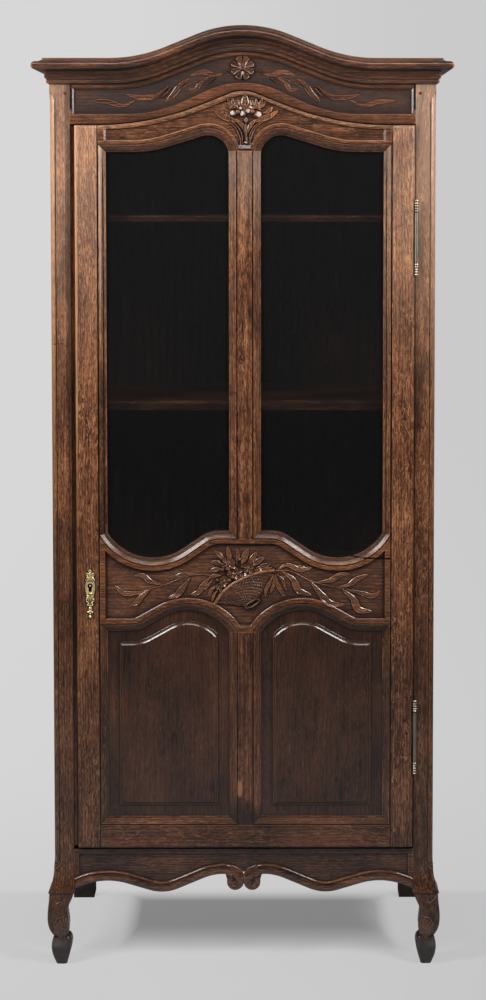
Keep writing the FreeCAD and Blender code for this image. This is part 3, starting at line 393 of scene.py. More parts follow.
def iron(name, bright, dark, rough):
    finish = Finish(name)
    drawn = finish.noise(finish.place, 700, 3, stretch=0.15)
    spots = finish.noise(finish.place, 110, 4, 0.65)
    rust = (spots.clamp(0.56, 0.72) + finish.hollow(0.0025).clamp(0.04, 0.3)).clamp(0.0, 1.0)
    steel = finish.mix(drawn, dark, bright)
    finish.set(Base_Color=finish.mix(rust, steel, (0.03, 0.019, 0.013)), Metallic=1.0 - rust * 0.5,
               Roughness=drawn * 0.18 + rust * 0.25 + rough, Normal=finish.bump(drawn + spots, 0.2, 0.0002))
    return finish.owner


def paneGlass():
    finish = Finish("pane_glass")
    wave = finish.noise(finish.place, 9, 2, stretch=0.5)
    dust = finish.noise(finish.place, 60, 5, 0.7)
    finish.set(Base_Color=finish.mix(dust, (0.004, 0.004, 0.004), (0.01, 0.01, 0.01)), IOR=1.9,
               Roughness=0.03, Alpha=dust * 0.05 + 0.32, Normal=finish.bump(wave, 0.12, 0.002))
    return finish.owner


brassFinish = brass()
hingeSteel = iron("hinge_steel", (0.33, 0.3, 0.24), (0.12, 0.11, 0.085), 0.3)
beadSteel = iron("bead_steel", (0.8, 0.72, 0.58), (0.45, 0.4, 0.32), 0.28)
lockIron = iron("lock_iron", (0.14, 0.13, 0.12), (0.045, 0.042, 0.04), 0.42)
glassFinish = paneGlass()
pinSteel = iron("pin_steel", (0.95, 0.94, 0.92), (0.8, 0.78, 0.75), 0.38)
metals = {        # what isn't wood is hinge steel, but for these
    "escutcheon": brassFinish, "escutcheon_pins": brassFinish, "lock_case": lockIron, "strike_plate": lockIron,
    "lock_pin": pinSteel, "left_glass_pane": glassFinish, "right_glass_pane": glassFinish,
}
for name, node in nodes.items():
    finish = oaks.get(name) or metals.get(name) or hingeSteel
    node.data.materials.clear()
    node.data.materials.append(finish)
print("metal and glass done")


def enter(name, data):
    thing = bpy.data.objects.new(name, data)
    scene.collection.objects.link(thing)
    return thing


mirror = {"left": -1, "right": 1}
root = -0.6       # a carving's outer rim lies this far inside the board, in millimetres


# ornament is drawn in millimetres on a board's face and stands out towards -Y
class Carving:
    def __init__(self, *carriers, plane=None):
        self.points, self.faces = [], []
        self.trees, self.plane = [], plane
        for carrier in carriers:
            mesh = nodes[carrier].data
            corners, sides = [v.co for v in mesh.vertices], [p.vertices for p in mesh.polygons]
            self.trees.append(BVHTree.FromPolygons(corners, sides))

    def ground(self, x, z):
        # the face of what carries the ornament, in metres
        if self.plane is not None:
            return self.plane
        hits = [tree.ray_cast(Vector((x * mm, -1.0, z * mm)), Vector((0, 1, 0)))[0] for tree in self.trees]
        return min((hit.y for hit in hits if hit is not None), default=None)

    def grid(self, rows):
        # rows of (x, z, height over the ground); height under 0 is inside the board
        start = len(self.points)
        middle = rows[len(rows) // 2]
        face = self.ground(*middle[len(middle) // 2][:2])
        for row in rows:
            for x, z, height in row:
                # past the board's edge the last face found goes on
                found = self.ground(x, z)
                face = face if found is None else found
                self.points.append((x * mm, face - height * mm, z * mm))
        self.knit(start, len(rows), len(rows[0]))

    def knit(self, start, tall, wide):
        # faces between the rows of points that begin at start
        for r in range(tall - 1):
            for c in range(wide - 1):
                a = start + r * wide + c
                self.faces.append((a, a + 1, a + wide + 1, a + wide))

    def place(self, name, finish, body, slot="frame_oak"):
        mesh = bpy.data.meshes.new(name)
        mesh.from_pydata(self.points, [], self.faces)
        mesh.materials.append(finish)
        for face in mesh.polygons:
            face.use_smooth = True
        mesh.validate()
        mesh.set_sharp_from_angle(angle=radians(48))
        piece = enter(name, mesh)
        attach(piece, body)


def smoothPath(points, count):
    # a curve through the given points, cut into equal steps
    ends = [tuple(2 * a - b for a, b in zip(points[0], points[1])), *points,
            tuple(2 * a - b for a, b in zip(points[-1], points[-2]))]
    dense = []
    for i in range(1, len(ends) - 2):
        for k in range(16):
            t = k / 16
            dense.append(tuple(0.5 * (2 * b + (c - a) * t + (2 * a - 5 * b + 4 * c - d) * t * t
                                      + (3 * b - a - 3 * c + d) * t ** 3)
                               for a, b, c, d in zip(*ends[i - 1:i + 3])))
    dense.append(points[-1])
    lengths = [0.0]
    for a, b in zip(dense, dense[1:]):
        lengths.append(lengths[-1] + dist(a, b))
    path, k = [], 0
    for i in range(count + 1):
        want = lengths[-1] * i / count
        while k < len(dense) - 2 and lengths[k + 1] < want:
            k += 1
        share = (want - lengths[k]) / max(lengths[k + 1] - lengths[k], 1e-9)
        path.append(tuple(a + (b - a) * share for a, b in zip(dense[k], dense[k + 1])))
    return path


def placed(points, side=1, start=(0, 0)):
    # points drawn from a start, mirrored where side is -1
    return [(start[0] + side * x, start[1] + z) for x, z in points]


def turned(x, z, u, v, angle):
    # what lies at (u, v) from (x, z), turned about that point
    return x + u * cos(angle) - v * sin(angle), z + u * sin(angle) + v * cos(angle)


def edgeAt(tree, x, depth, start, way):
    # the height of a board's edge, sought up or down from a start
    hit = tree.ray_cast(Vector((x * mm, depth, start * mm)), Vector((0, 0, way)))[0]
    return hit.z / mm


def sidesOf(path):
    # the unit normal, to the left of the way the path runs
    normals = []
    for i in range(len(path)):
        a, b = path[max(i - 1, 0)], path[min(i + 1, len(path) - 1)]
        length = dist(a, b) or 1.0
        normals.append((-(b[1] - a[1]) / length, (b[0] - a[0]) / length))
    return normals


# across a leaf, in half widths from its middle: two gouge cuts beside a raised rib, all ridges of one slope
leafSection = [(-1.0, 0.0), (-0.81, 0.19), (-0.64, 0.02), (-0.24, 0.0), (-0.05, 0.19), (0.05, 0.19), (0.24, 0.0),
               (0.64, 0.02), (0.81, 0.19), (1.0, 0.0)]


def leaf(work, points, width, height, blunt=0.45, lean=0.0, steps=18, slope=0.76):
    path = smoothPath(points, steps)
    normals = sidesOf(path)
    rows = []
    for i, ((x, z), (nx, nz)) in enumerate(zip(path, normals)):
        t = i / steps
        half = 0.5 * width * (0.16 + 0.84 * sin(pi * min(t * 0.5 / 0.42, 1.0) ** 0.9 * 0.5)
                              if t < 0.42 else max(1 - ((t - 0.42) / 0.58) ** (1.6 + blunt * 2), 0.0) ** 0.75)
        half = max(half, 0.02 * width)
        lift = 0.45 * height * (0.55 + 0.45 * sin(pi * min(0.15 + t, 1.0)))
        row = [(x + nx * half * across, z + nz * half * across, lift * (1 + lean * across) + rise * half * slope)
               for across, rise in leafSection]
        rows.append([(*row[0][:2], root), *row, (*row[-1][:2], root)])
    work.grid(rows)


def leaves(work, table, swell=1.0, side=1, **style):
    for points, width, height in table:
        leaf(work, placed(points, side), width, height * swell, **style)


def stem(work, points, thick, thin, height=None, steps=24):
    path = smoothPath(points, steps)
    normals = sidesOf(path)
    rows = []
    for i, ((x, z), (nx, nz)) in enumerate(zip(path, normals)):
        radius = 0.5 * (thick + (thin - thick) * i / steps)
        tall = radius * 1.3 if height is None else height * radius * 2 / thick
        row = []
        for k in range(9):
            turn = pi * k / 8
            row.append((x + nx * radius * cos(turn), z + nz * radius * cos(turn),
                        tall * sin(turn) if 0 < k < 8 else root))
        rows.append(row)
    work.grid(rows)


def stems(work, table, side=1):
    for points, *shape in table:
        stem(work, placed(points, side), *shape)


def dome(work, x, z, radius, height, around=20, dimple=0.0, cut=None):
    # cut is a facet made with one stroke: its rise to the right, its rise upwards and its height in the middle
    rows = []
    for ring in range(7):
        t = ring / 6
        reach = sin(t * pi / 2)
        up = height * cos(t * pi / 2) - dimple * max(1 - t / 0.45, 0.0)
        row = []
        for k in range(around + 1):
            a = 2 * pi * k / around
            aside, above = radius * reach * cos(a), radius * reach * sin(a)
            rise = up if cut is None else min(up, cut[2] * height + cut[0] * aside + cut[1] * above)
            row.append((x + aside, z + above, rise if ring < 6 else root))
        rows.append(row)
    work.grid(rows)


def fruits(work, table, facet, swell):
    aside, above, level = facet
    for x, z, radius, *side in table:
        dome(work, x, z, radius, radius * swell, cut=(-side[0] * aside, above, level) if side else None)


def petal(work, x, z, angle, near, far, width, height):
    # a cupped petal from near to far out from (x, z), widest towards its end
    rows = []
    for i in range(9):
        t = i / 8
        reach = near + (far - near) * sin(t * pi / 2)
        half = 0.5 * width * (0.35 + 0.65 * t) * sqrt(max(1 - max((t - 0.55) / 0.47, 0) ** 2, 0.0))
        row = []
        for k in range(9):
            s = -1 + k / 4
            cup = 0.55 + 0.45 * abs(s) ** 1.5 + (0.12 if t > 0.8 else 0) - 0.25 * (1 - t)
            up = height * cup if abs(s) < 1 and i < 8 else root
            u, v = reach - 0.1 * width * s * s, half * s
            row.append((*turned(x, z, u, v, angle), up))
        rows.append(row)
    work.grid(rows)


def bloom(work, x, z, radius, petals, height, turn=0.0):
    for k in range(petals):
        angle = turn + 2 * pi * k / petals
        petal(work, x, z, angle, radius * 0.18, radius, 2.0 * radius * sin(pi / petals) * 1.08, height)
    dome(work, x, z, radius * 0.34, height * 1.25, dimple=height * 0.25)


# the middle rail: a tipped basket of flowers between two leafy sprays
panelLine = [(3.4, -0.6), (3.0, 0.0), (1.9, 0.83), (0.0, 0.83)]    # distance from the edge, and height
railCarving = {
    "stems": [
        ([(-64, 883), (-98, 887), (-134, 880), (-174, 864), (-219, 852)], 3.4, 1.6),
        ([(66, 894), (104, 894), (148, 873), (190, 861), (237, 852)], 3.6, 1.8),
    ],
    "leaves": [   # points from the stalk to the tip, width, height
        ([(-212, 853), (-238, 845), (-266, 845), (-287, 864)], 11, 2.6),
        ([(-208, 853), (-226, 838), (-238, 824), (-252, 815)], 13, 2.6),
        ([(-180, 864), (-208, 872), (-222, 884), (-243, 885)], 12, 2.4),
        ([(-118, 880), (-134, 858), (-148, 841), (-168, 834)], 14, 2.8),
        ([(-96, 886), (-126, 889), (-150, 882), (-168, 881)], 10, 2.4),
        ([(-74, 881), (-90, 862), (-100, 847), (-118, 841)], 13, 2.8),
        ([(-70, 873), (-80, 862), (-90, 852)], 8, 2.6), ([(-60, 862), (-72, 852), (-76, 836)], 8, 3),
        ([(-58, 850), (-66, 840), (-70, 824)], 7, 3), ([(74, 896), (98, 908), (126, 897), (155, 902)], 12, 2.6),
        ([(104, 900), (126, 904), (146, 896)], 6, 2), ([(86, 894), (110, 876), (124, 850), (152, 840)], 16, 3),
        ([(148, 872), (170, 846), (192, 822), (226, 818)], 17, 3),
        ([(160, 869), (192, 873), (214, 885), (238, 888)], 12, 2.4),
        ([(208, 857), (236, 864), (252, 876), (278, 887)], 12, 2.4),
        ([(232, 852), (262, 845), (288, 838), (306, 851)], 12, 2.6),
        ([(220, 853), (244, 832), (256, 808), (286, 803)], 17, 3),
        ([(66, 888), (52, 880), (42, 866), (40, 852)], 9, 2.8),
        ([(67, 886), (58, 868), (50, 852), (49, 836)], 9, 3),
        ([(68, 885), (68, 868), (64, 854), (60, 844)], 8, 2.6),
        ([(71, 886), (76, 866), (84, 850), (94, 836)], 10, 3),
        ([(74, 888), (88, 874), (92, 860), (96, 850)], 7, 2.4),
    ],
    "spray": [    # the pointed leaves behind the flowers
        ([(-26, 912), (-32, 932), (-36, 950)], 11, 4), ([(-38, 914), (-52, 930), (-64, 940)], 10, 3.6),
        ([(-44, 906), (-60, 914), (-74, 913)], 10, 3.6), ([(-44, 896), (-60, 898), (-78, 892)], 11, 3.6),
        ([(-16, 910), (-12, 930), (-14, 946)], 9, 3.6), ([(-4, 902), (2, 924), (12, 947)], 15, 4.6),
        ([(8, 904), (20, 922), (30, 938)], 13, 4.4), ([(18, 902), (32, 916), (48, 926)], 12, 4),
        ([(24, 898), (42, 904), (62, 912)], 12, 4), ([(-50, 884), (-64, 884), (-78, 878)], 9, 3.2),
        ([(30, 894), (46, 896), (64, 903)], 8, 3.4),
    ],
    "blooms": [   # x, z, radius, petals, height
        (-33, 912, 15, 6, 6), (12, 902, 13, 5, 6.2), (-12, 889, 13, 6, 6.6),
        (-42, 872, 12, 5, 5.6), (-28, 889, 9, 5, 5.2), (26, 896, 8, 5, 4.6), (-54, 860, 8, 5, 4.4),
    ],
    "berries": [   # x, z, radius, and the side of a facet
        (-46, 898, 4.6), (-2, 914, 4.4), (4, 886, 4.8, -1), (-31, 874, 4.8), (-20, 902, 4.2, -1),
        (24, 908, 4), (-50, 849, 4), (38, 897, 3.8, 1), (-8, 921, 3.6), (-58, 874, 3.8),
        (-42, 862, 4.6, -1), (15, 889, 4.4), (-16, 879, 4.6, -1), (-24, 880, 3.8), (-37, 866, 3.6),
        (9, 893, 3.4), (-50, 867, 3.4), (-6, 884, 3.6),
    ],
    "facet": (0.44, -0.62, 0.62),
    "rim": [(-62, 822), (-49, 843), (-30, 861), (-7, 875), (15, 885), (41, 892), (66, 895)],
    "foot": ((20, 822), 17.5, 5.5, 0.53),     # middle, half length, half width, tilt
    "strips": {   # Y of the face, board, Y at which the edge is sought, ends along X, and the height to search from
        "rail_border": (-0.209, "door_middle_rail", -0.208, (-304, 312), 880,
                        [(2.1, -1.9), (1.9, -1.4), (0, 0.08), (-0.6, 0.08), (-0.9, -0.6)]),
        "panel_line_left": (-0.198, "left_door_panel", -0.2, (-270, -58), 900, panelLine),
        "panel_line_right": (-0.198, "right_door_panel", -0.2, (66, 278), 900, panelLine),
    },
    "weave": (17, 9),                         # strands along the rim and down the side
}


def basket(work, border, look):
    rim = smoothPath(look["rim"], 120)
    foot, long, short, tilt = look["foot"]
    strands, courses = look["weave"]
    rows = []
    for r in range(65):
        t = r / 64
        row = []
        for i, (x, z) in enumerate(rim):
            s = i / 120
            across = -1 + 2 * s
            endX, endZ = turned(*foot, long * across, short * 0.4, tilt)
            pull = t ** 1.15
            px, pz = x + (endX - x) * pull, z + (endZ - z) * pull
            round_ = sqrt(max(1 - abs(across) ** 2.4, 0.0))
            first = abs(sin(pi * (s * strands + t * courses * 0.5)))
            second = abs(sin(pi * (s * strands * 0.35 - t * courses)))
            up = 2.0 + 4.6 * round_ * (1 - 0.35 * t) - 1.1 * (first ** 6 + second ** 6)
            row.append((px, pz, up if 0 < i < 120 else root))
        rows.append(row)
    work.grid(rows)
    stem(border, look["rim"], 8.0, 7.6, 7.0, 60)
    dome(border, *look["rim"][-1], 4.8, 6.4)
    dome(border, *look["rim"][0], 4.4, 5.0)
    ring = [turned(*foot, long * cos(pi * k / 12), short * sin(pi * k / 12), tilt) for k in range(25)]
    stem(work, ring, 4.4, 4.4, 6.4, 48)


def carveStrip(name, face, node, depth, ends, above, section):
    # a narrow chamfer or line along a board's edge
    tree = Carving(node).trees[0]
    path = [(x, edgeAt(tree, x, depth, above, -1)) for x in range(ends[0], ends[1] + 1, 4)]
    strip = Carving(plane=face)
    strip.grid([[(x + nx * reach, z + nz * reach, rise) for reach, rise in section]
                for (x, z), (nx, nz) in zip(path, sidesOf(path))])
    strip.place(name, oaks[node] if node.endswith("panel") else carved["cuts"], "door")


def carveRail(look):
    for name, strip in look["strips"].items():
        carveStrip(name, *strip)
    spray = Carving("door_middle_rail")
    stems(spray, look["stems"])
    leaves(spray, look["leaves"], 1.35, lean=0.12)
    spray.place("rail_leaf_sprays", carved["rail"], "door")
    flowers = Carving("door_middle_rail")
    leaves(flowers, look["spray"], blunt=0.2)
    for x, z, radius, petals, height in look["blooms"]:
        bloom(flowers, x, z, radius, petals, height, turn=0.02 * x)
    fruits(flowers, look["berries"], look["facet"], 1.5)
    flowers.place("rail_flowers", carved["blooms"], "door")
    woven, border = Carving("door_middle_rail"), Carving("door_middle_rail")
    basket(woven, border, look)
    woven.place("rail_basket", carved["basket"], "door")
    border.place("rail_basket_rim", carved["rim"], "door")


carveRail(railCarving)
print("middle rail carved")

# the crest on the top rail: a bud and leaves over a row of fruit, on a forked stalk
crestCarving = {
    "leaves": [   # points from the stalk to the tip, width, height: the bud, two bunches, the wings
        ([(5, 1913), (5, 1930), (5, 1950)], 17, 6.4),
        ([(1, 1916), (-4, 1926), (-6, 1938)], 7, 4.4), ([(9, 1916), (14, 1926), (16, 1938)], 7, 4.4),
        ([(-18, 1920), (-28, 1930), (-34, 1942)], 8, 5), ([(-16, 1921), (-21, 1931), (-23, 1943)], 7, 5.4),
        ([(-20, 1918), (-31, 1924), (-39, 1932)], 8, 4.6), ([(-13, 1921), (-12, 1930), (-11, 1939)], 7, 4.6),
        ([(28, 1920), (30, 1930), (30, 1941)], 7, 4.8), ([(32, 1920), (39, 1930), (43, 1942)], 8, 5.4),
        ([(34, 1918), (44, 1926), (51, 1934)], 8, 5), ([(25, 1919), (22, 1928), (22, 1937)], 6, 4.6),
        ([(-29, 1917), (-19, 1923), (-8, 1918)], 7, 6.2), ([(20, 1917), (30, 1922), (39, 1915)], 7, 6.2),
        ([(-6, 1888), (-26, 1895), (-44, 1901), (-63, 1914)], 13, 4.2),
        ([(-22, 1904), (-36, 1906), (-49, 1912)], 9, 3.8),
        ([(20, 1888), (40, 1895), (58, 1901), (78, 1914)], 13, 4.2), ([(44, 1908), (55, 1912), (66, 1922)], 9, 3.8),
        ([(6, 1862), (0, 1880), (-16, 1896)], 9, 6.4), ([(8, 1862), (16, 1880), (28, 1895)], 9, 6.4),
        ([(7, 1886), (7, 1893), (7, 1900)], 7, 5),
    ],
    "fruit": [     # x, z, radius, and the side of a facet
        (-21, 1908, 7.2, -1), (-11, 1911, 5.6), (0.5, 1907, 7, -1), (10.5, 1913, 6.2, 1), (21, 1912, 5.6),
        (33, 1905, 8.4, 1), (17, 1921, 4.6, 1), (-4, 1919, 4.2, -1), (8.5, 1845, 4.8, -1),
    ],
    "facet": (0.5, -0.19, 0.62),
    "seeds": [(-33, 1936), (-27, 1940), (-21, 1935), (-30, 1929), (-15, 1935), (31, 1935), (36, 1940), (43, 1936),
              (38, 1930), (48, 1932), (3, 1941), (7, 1934), (5, 1926), (-44, 1908), (62, 1912)],
    "stems": [    # points, thickness at either end, height, steps: a stalk, its channels and the line at its foot
        ([(6, 1884), (6.5, 1864), (8.5, 1846)], 5, 7, 5.4, 24),
        ([(-36, 1893), (-18, 1878), (-9, 1862), (-5, 1849), (-5, 1836)], 2.6, 2.6, 2.6, 24),
        ([(-24, 1890), (-9, 1876), (-2, 1860), (0, 1842)], 2.4, 2.4, 2.6, 24),
        ([(54, 1898), (30, 1878), (21, 1862), (17, 1849), (18, 1836)], 2.6, 2.6, 2.6, 24),
        ([(38, 1890), (23, 1876), (15, 1860), (14, 1842)], 2.4, 2.4, 2.6, 24),
        ([(-8, 1830.5), (24, 1830.5)], 3, 3, 2.6, 8),
    ],
}


def carveCrest(look):
    crest = Carving("door_top_rail", "upper_muntin")
    leaves(crest, look["leaves"], 1.3, blunt=0.3, steps=14, slope=0.53)
    for x, z in look["seeds"]:
        dome(crest, x, z, 2.1, 6.2, around=10)
    fruit = Carving("door_top_rail", "upper_muntin")
    fruits(fruit, look["fruit"], look["facet"], 1.15)
    fruit.place("top_rail_fruit", carved["fruit"], "door")
    stems(crest, look["stems"])
    crest.place("top_rail_crest", carved["crest"], "door")


carveCrest(crestCarving)

# the frieze: a rosette between two low branches
friezeCarving = {
    "rosette": (-0.5, 2008, 26.5, 8, 5.6),
    "leaves": [   # on the right; the left branch mirrors them
        ([(38, 1997), (62, 1993), (88, 1999), (116, 1991)], 11, 2.2),
        ([(76, 1986), (93, 1975), (104, 1960), (121, 1962)], 9, 2),
        ([(118, 1984), (136, 1972), (152, 1950), (170, 1934)], 13, 2.6),
        ([(164, 1968), (190, 1947), (222, 1943), (257, 1950)], 12, 2.8),
        ([(236, 1937), (264, 1925), (298, 1934), (335, 1936)], 11, 2.6),
    ],
    "strokes": [  # fine ribs that catch the light
        [(130, 1976), (146, 1957), (160, 1940)], [(138, 1970), (152, 1952), (168, 1937)],
        [(158, 1964), (170, 1950), (180, 1943)], [(168, 1964), (182, 1950), (195, 1942)], [(62, 1986), (80, 1972)],
        [(36, 2002), (45, 1994)],
    ],
    "stems": [([(34, 1998), (90, 1984), (150, 1958), (210, 1943), (250, 1933)], 1.8, 1.2)],
}


def carveFrieze(look):
    x, z, radius, petals, height = look["rosette"]
    rosette = Carving("frieze_board")
    bloom(rosette, x, z, radius, petals, height, turn=pi / 8)
    for k in range(4):
        a = pi / 4 + k * pi / 2
        dome(rosette, x + 3.4 * cos(a), z + 3.4 * sin(a), 2.6, height * 1.55)
    rosette.place("frieze_rosette", carved["frieze"], "carcass")
    for name, side in mirror.items():
        branch = Carving("frieze_board")
        stems(branch, look["stems"], side)
        leaves(branch, look["leaves"], side=side, lean=0.15 * side, slope=0.5)
        stems(branch, [(points, 2.6, 1.6, 3.6, 12) for points in look["strokes"]], side)
        branch.place("frieze_branch_" + name, carved["frieze"], "carcass")


carveFrieze(friezeCarving)
print("crest and frieze carved")

# the apron: a rounded band along its lower edge that curls into two scrolls
apronCarving = {
    "face": -0.199, "edgeDepth": -0.1975, "far": 378, "near": 33,
    "section": [  # distance from the lower edge and height: a full curve, a quirk and a bead
        (0.7, -0.5), (0.9, 0.3), (2.2, 1.3), (4.5, 2.1), (7.5, 2.6), (10.5, 2.6), (13.5, 2.1), (15.8, 1.1),
        (17, 0.1), (18.2, 0.1), (18.6, 1.6), (19.3, 2.7), (20.1, 3.1), (20.7, 3.05), (22.7, 1.2), (23.1, -3.4),
    ],
    "turnIn": [   # X and Z of the band's inner side and of its outer side, and the rise under each
        (35, 205.6, 27, 227.6, 0.2, 0), (30, 205, 17.5, 223.6, 1.6, 0), (25, 203.4, 9.5, 218, 2.2, 0.2),
        (20.5, 200.2, 2.4, 211.5, 2.3, 1), (17, 195, -0.6, 204, 2.3, 2.2), (15, 190, -0.5, 196, 2.3, 2.3),
        (14.6, 186, -0.3, 188, 2.2, 2.3), (16, 182.5, 1.9, 180, 2.2, 2.2), (18.8, 181, 7.5, 174, 2.2, 2.2),
        (22, 181.4, 14.5, 170.8, 2.2, 2.2), (24.8, 183.6, 22.5, 170.6, 2.2, 2.2), (26.2, 187, 30.5, 174.5, 2.2, 2.2),
        (26, 190.2, 35.8, 181, 2.2, 2.2), (24.4, 192.8, 37.5, 188, 2.2, 2.2), (22, 194.2, 36, 194.5, 2.2, 2.2),
        (19.6, 194.4, 31, 199, 2.1, 2.1),
    ],
    "eye": (20, 188, 4.8, 4.4),
    "slits": [([(39, 201.5), (31, 201), (24, 199.4)], 3.4, 2, 4.9, 10),
              ([(26, 192.5), (21.5, 195), (16.5, 191.5)], 1.8, 1.4, 4.9, 10)],
}


def carveApron(look):
    tree = Carving("apron_board").trees[0]
    band = Carving(plane=look["face"])
    for side in mirror.values():
        path = smoothPath([(side * x, edgeAt(tree, side * x, look["edgeDepth"], -100, 1))
                           for x in range(look["far"], look["near"], -8)], 110)
        rows = []
        for (x, z), (nx, nz) in zip(path, sidesOf(path)):
            up = 1 if nz > 0 else -1
            rows.append([(x + up * nx * reach, z + up * nz * reach, rise) for reach, rise in look["section"]])
        band.grid(rows)
        # the band runs into its scroll
        strip = smoothPath(look["turnIn"], 96)
        rows = []
        for i, (innerX, innerZ, outerX, outerZ, low, high) in enumerate(strip):
            beaded = max(1 - i / 34, 0.0)
            row = []
            for k in range(17):
                t = k / 16
                under = low + (high - low) * t
                full = under + 2.6 * sin(pi * min(t / 0.8, 1.0)) ** 0.7
                bead = 2.9 * sqrt(max(1 - ((t - 0.9) / 0.09) ** 2, 0.0))
                plain = under + 2.6 * sin(pi * t) ** 0.7
                rise = max(full, bead) * beaded + plain * (1 - beaded)
                row.append((side * (innerX + (outerX - innerX) * t), innerZ + (outerZ - innerZ) * t,
                            rise if 0 < k < 16 else root))
            rows.append(row)
        band.grid(rows)
        eyeX, eyeZ, radius, height = look["eye"]
        dome(band, side * eyeX, eyeZ, radius, height)
    band.place("apron_band", carved["apron"], "carcass")
    # the slits' dark strokes are painted shade
    slits = Carving(plane=look["face"])
    for side in mirror.values():
        stems(slits, look["slits"], side)
    slits.place("apron_scroll_painted_shade", paintedShadeCuts, "carcass")


carveApron(apronCarving)

# the knees: a leaf falls over the front of each leg
kneeCarving = {
    "leaves": [   # distances from the cupboard's middle, from the ankle to the scalloped top
        ([(413, 60), (420, 78), (423.5, 100)], 8, 2.2), ([(411.5, 60), (416, 82), (417.5, 105)], 7, 2.5),
        ([(409, 60), (410.5, 84), (411.5, 111)], 8, 2.8), ([(406, 60), (405, 84), (404, 112)], 8, 2.6),
        ([(403, 60), (398.5, 84), (397, 116)], 8, 2.3),
    ],
    "cuts": [([(432, 161.5), (425, 151.5), (417, 144)], 2.2), ([(418, 144), (410.5, 148)], 2),
             ([(424, 98), (419, 107), (413, 112.5), (406, 113), (401.5, 117), (397, 118)], 2.2),
             ([(404, 87), (399.5, 93), (393.5, 97)], 1.8),
             ([(423, 218), (416, 223), (409.5, 232), (406.5, 245)], 2.2)],
}


def carveKnees(look):
    for name, side in mirror.items():
        knee = Carving(name + "_front_post")
        leaves(knee, look["leaves"], side=side, blunt=0.8)
        knee.place("knee_leaf_" + name, carved["knee"], "carcass")
        cuts = Carving(name + "_front_post")
        for points, thick in look["cuts"]:
            stem(cuts, placed(points, side), thick, thick * 0.6, 2.2, 14)
        # the lighter rim finish on the cut lines is a painted highlight
        cuts.place("knee_cuts_" + name, carved["rim"], "carcass")


carveKnees(kneeCarving)
print("apron and knees carved")

# the escutcheon's relief, drawn from the keyhole
escutcheonRelief = {
    "keyhole": (-340, 862), "plane": -0.2105,
    "rim": [(-7.6, 10), (-9, 3), (-9, -8), (-7.4, -14), (0, -17), (7.4, -14), (9, -8), (9, 3), (7.6, 10)],
    "scrolls": [  # the right-hand scrolls; each is mirrored
        ([(7.6, 10), (9.2, 13.5), (7, 17), (4.4, 14.6), (6.4, 12.6)], 2.4, 1.2),
        ([(2, 12.5), (3.6, 18), (7.4, 22), (8.6, 27), (5.4, 29.4), (3.6, 26.6), (5.6, 25)], 2.6, 1.2),
        ([(0.8, 30), (2.6, 32.4), (1.8, 35.6), (0, 36.8)], 1.8, 1.2),
        ([(7.6, -14), (8.4, -18), (6.6, -22), (3.8, -20), (5.4, -17.8)], 2.4, 1.2),
        ([(1.8, -18.5), (4, -25), (8.2, -28), (8.4, -33), (5.2, -35.4), (3.2, -32.4), (5.4, -30.6)], 2.6, 1.2),
        ([(1.2, -36), (4, -39), (6.4, -41.6), (3, -44)], 2.2, 1),
    ],
    "leaves": [([(0, 12), (0, 18), (0, 29)], 4.6, 1.8), ([(0, -19), (0, -27), (0, -36)], 4.8, 1.8),
               ([(0, -38), (0, -41), (0, -46)], 4, 1.6), ([(0, -63), (0, -68), (0, -73.4)], 3.8, 1.6)],
    "beads": [(0, -49.3, 3.4), (0, -56, 2.6), (4.4, -58, 2.4), (-4.4, -58, 2.4), (0, -61.4, 2), (0, 30.4, 2),
              (0, -68.5, 3.2)],
    "grains": [(5.4, 23.4, 1.7), (7.4, 19, 1.6), (3.2, 20.4, 1.5), (2.2, 33.6, 1.6), (6, 12.6, 1.5),
               (4.6, -22.6, 1.6), (7.2, -30.2, 1.7), (2.6, -28.6, 1.5), (4.4, -37.6, 1.6), (2, -43, 1.6),
               (6.4, -17.2, 1.5), (2.4, -52.6, 1.5)],
}


def dressEscutcheon(look):
    keyX, keyZ = keyhole = look["keyhole"]
    plate = Carving(plane=look["plane"])
    stem(plate, placed(look["rim"], 1, keyhole), 1.7, 1.7, 1.1, 60)
    for points, thick, thin in look["scrolls"]:
        for side in mirror.values():
            stem(plate, placed(points, side, keyhole), 0.76 * thick, thin, 2.4, 26)
    for points, width, height in look["leaves"]:
        leaf(plate, placed(points, 1, keyhole), width, height, blunt=0.2, steps=10)
    for x, z, radius in look["beads"]:
        dome(plate, keyX + x, keyZ + z, radius, radius * 0.8, around=14)
    for x, z, radius in look["grains"]:
        for side in mirror.values():
            dome(plate, keyX + side * x, keyZ + z, 0.85 * radius, 2.9, around=10)
    plate.place("escutcheon_relief", brassFinish, "door", "escutcheon_brass")


dressEscutcheon(escutcheonRelief)

# the hinges end in turned beads
hingeBeads = {
    "axis": (0.3818, -0.2082), "centres": {"upper": 1.6355, "lower": 0.521}, "halfLength": 0.0835,
    "beads": [(2, 4.7), (7.8, 4.7), (13.4, 4.7), (19, 4.6), (24.2, 4.5)],    # distance from the end and radius
    "halfHeight": 1.35,
}


def turnBeads(look):
    (axisX, axisY), tall = look["axis"], look["halfHeight"] * mm
    for name, centre in look["centres"].items():
        for end, body in ((1, "door"), (-1, "carcass")):
            work = Carving()
            for reach, radius in look["beads"]:
                height = centre + end * (look["halfLength"] - reach * mm)
                start = len(work.points)
                for k in range(7):
                    lift = -1 + k / 3
                    across = radius * mm * (0.55 + 0.45 * sqrt(max(1 - lift * lift, 0.0)))
                    for n in range(25):
                        turn = 2 * pi * n / 24
                        work.points.append((axisX + across * cos(turn), axisY + across * sin(turn),
                                            height + lift * tall))
                work.knit(start, 7, 25)
            work.place("hinge_beads_" + name + ("_top" if end > 0 else "_foot"), beadSteel, body, "hinge_steel")


turnBeads(hingeBeads)

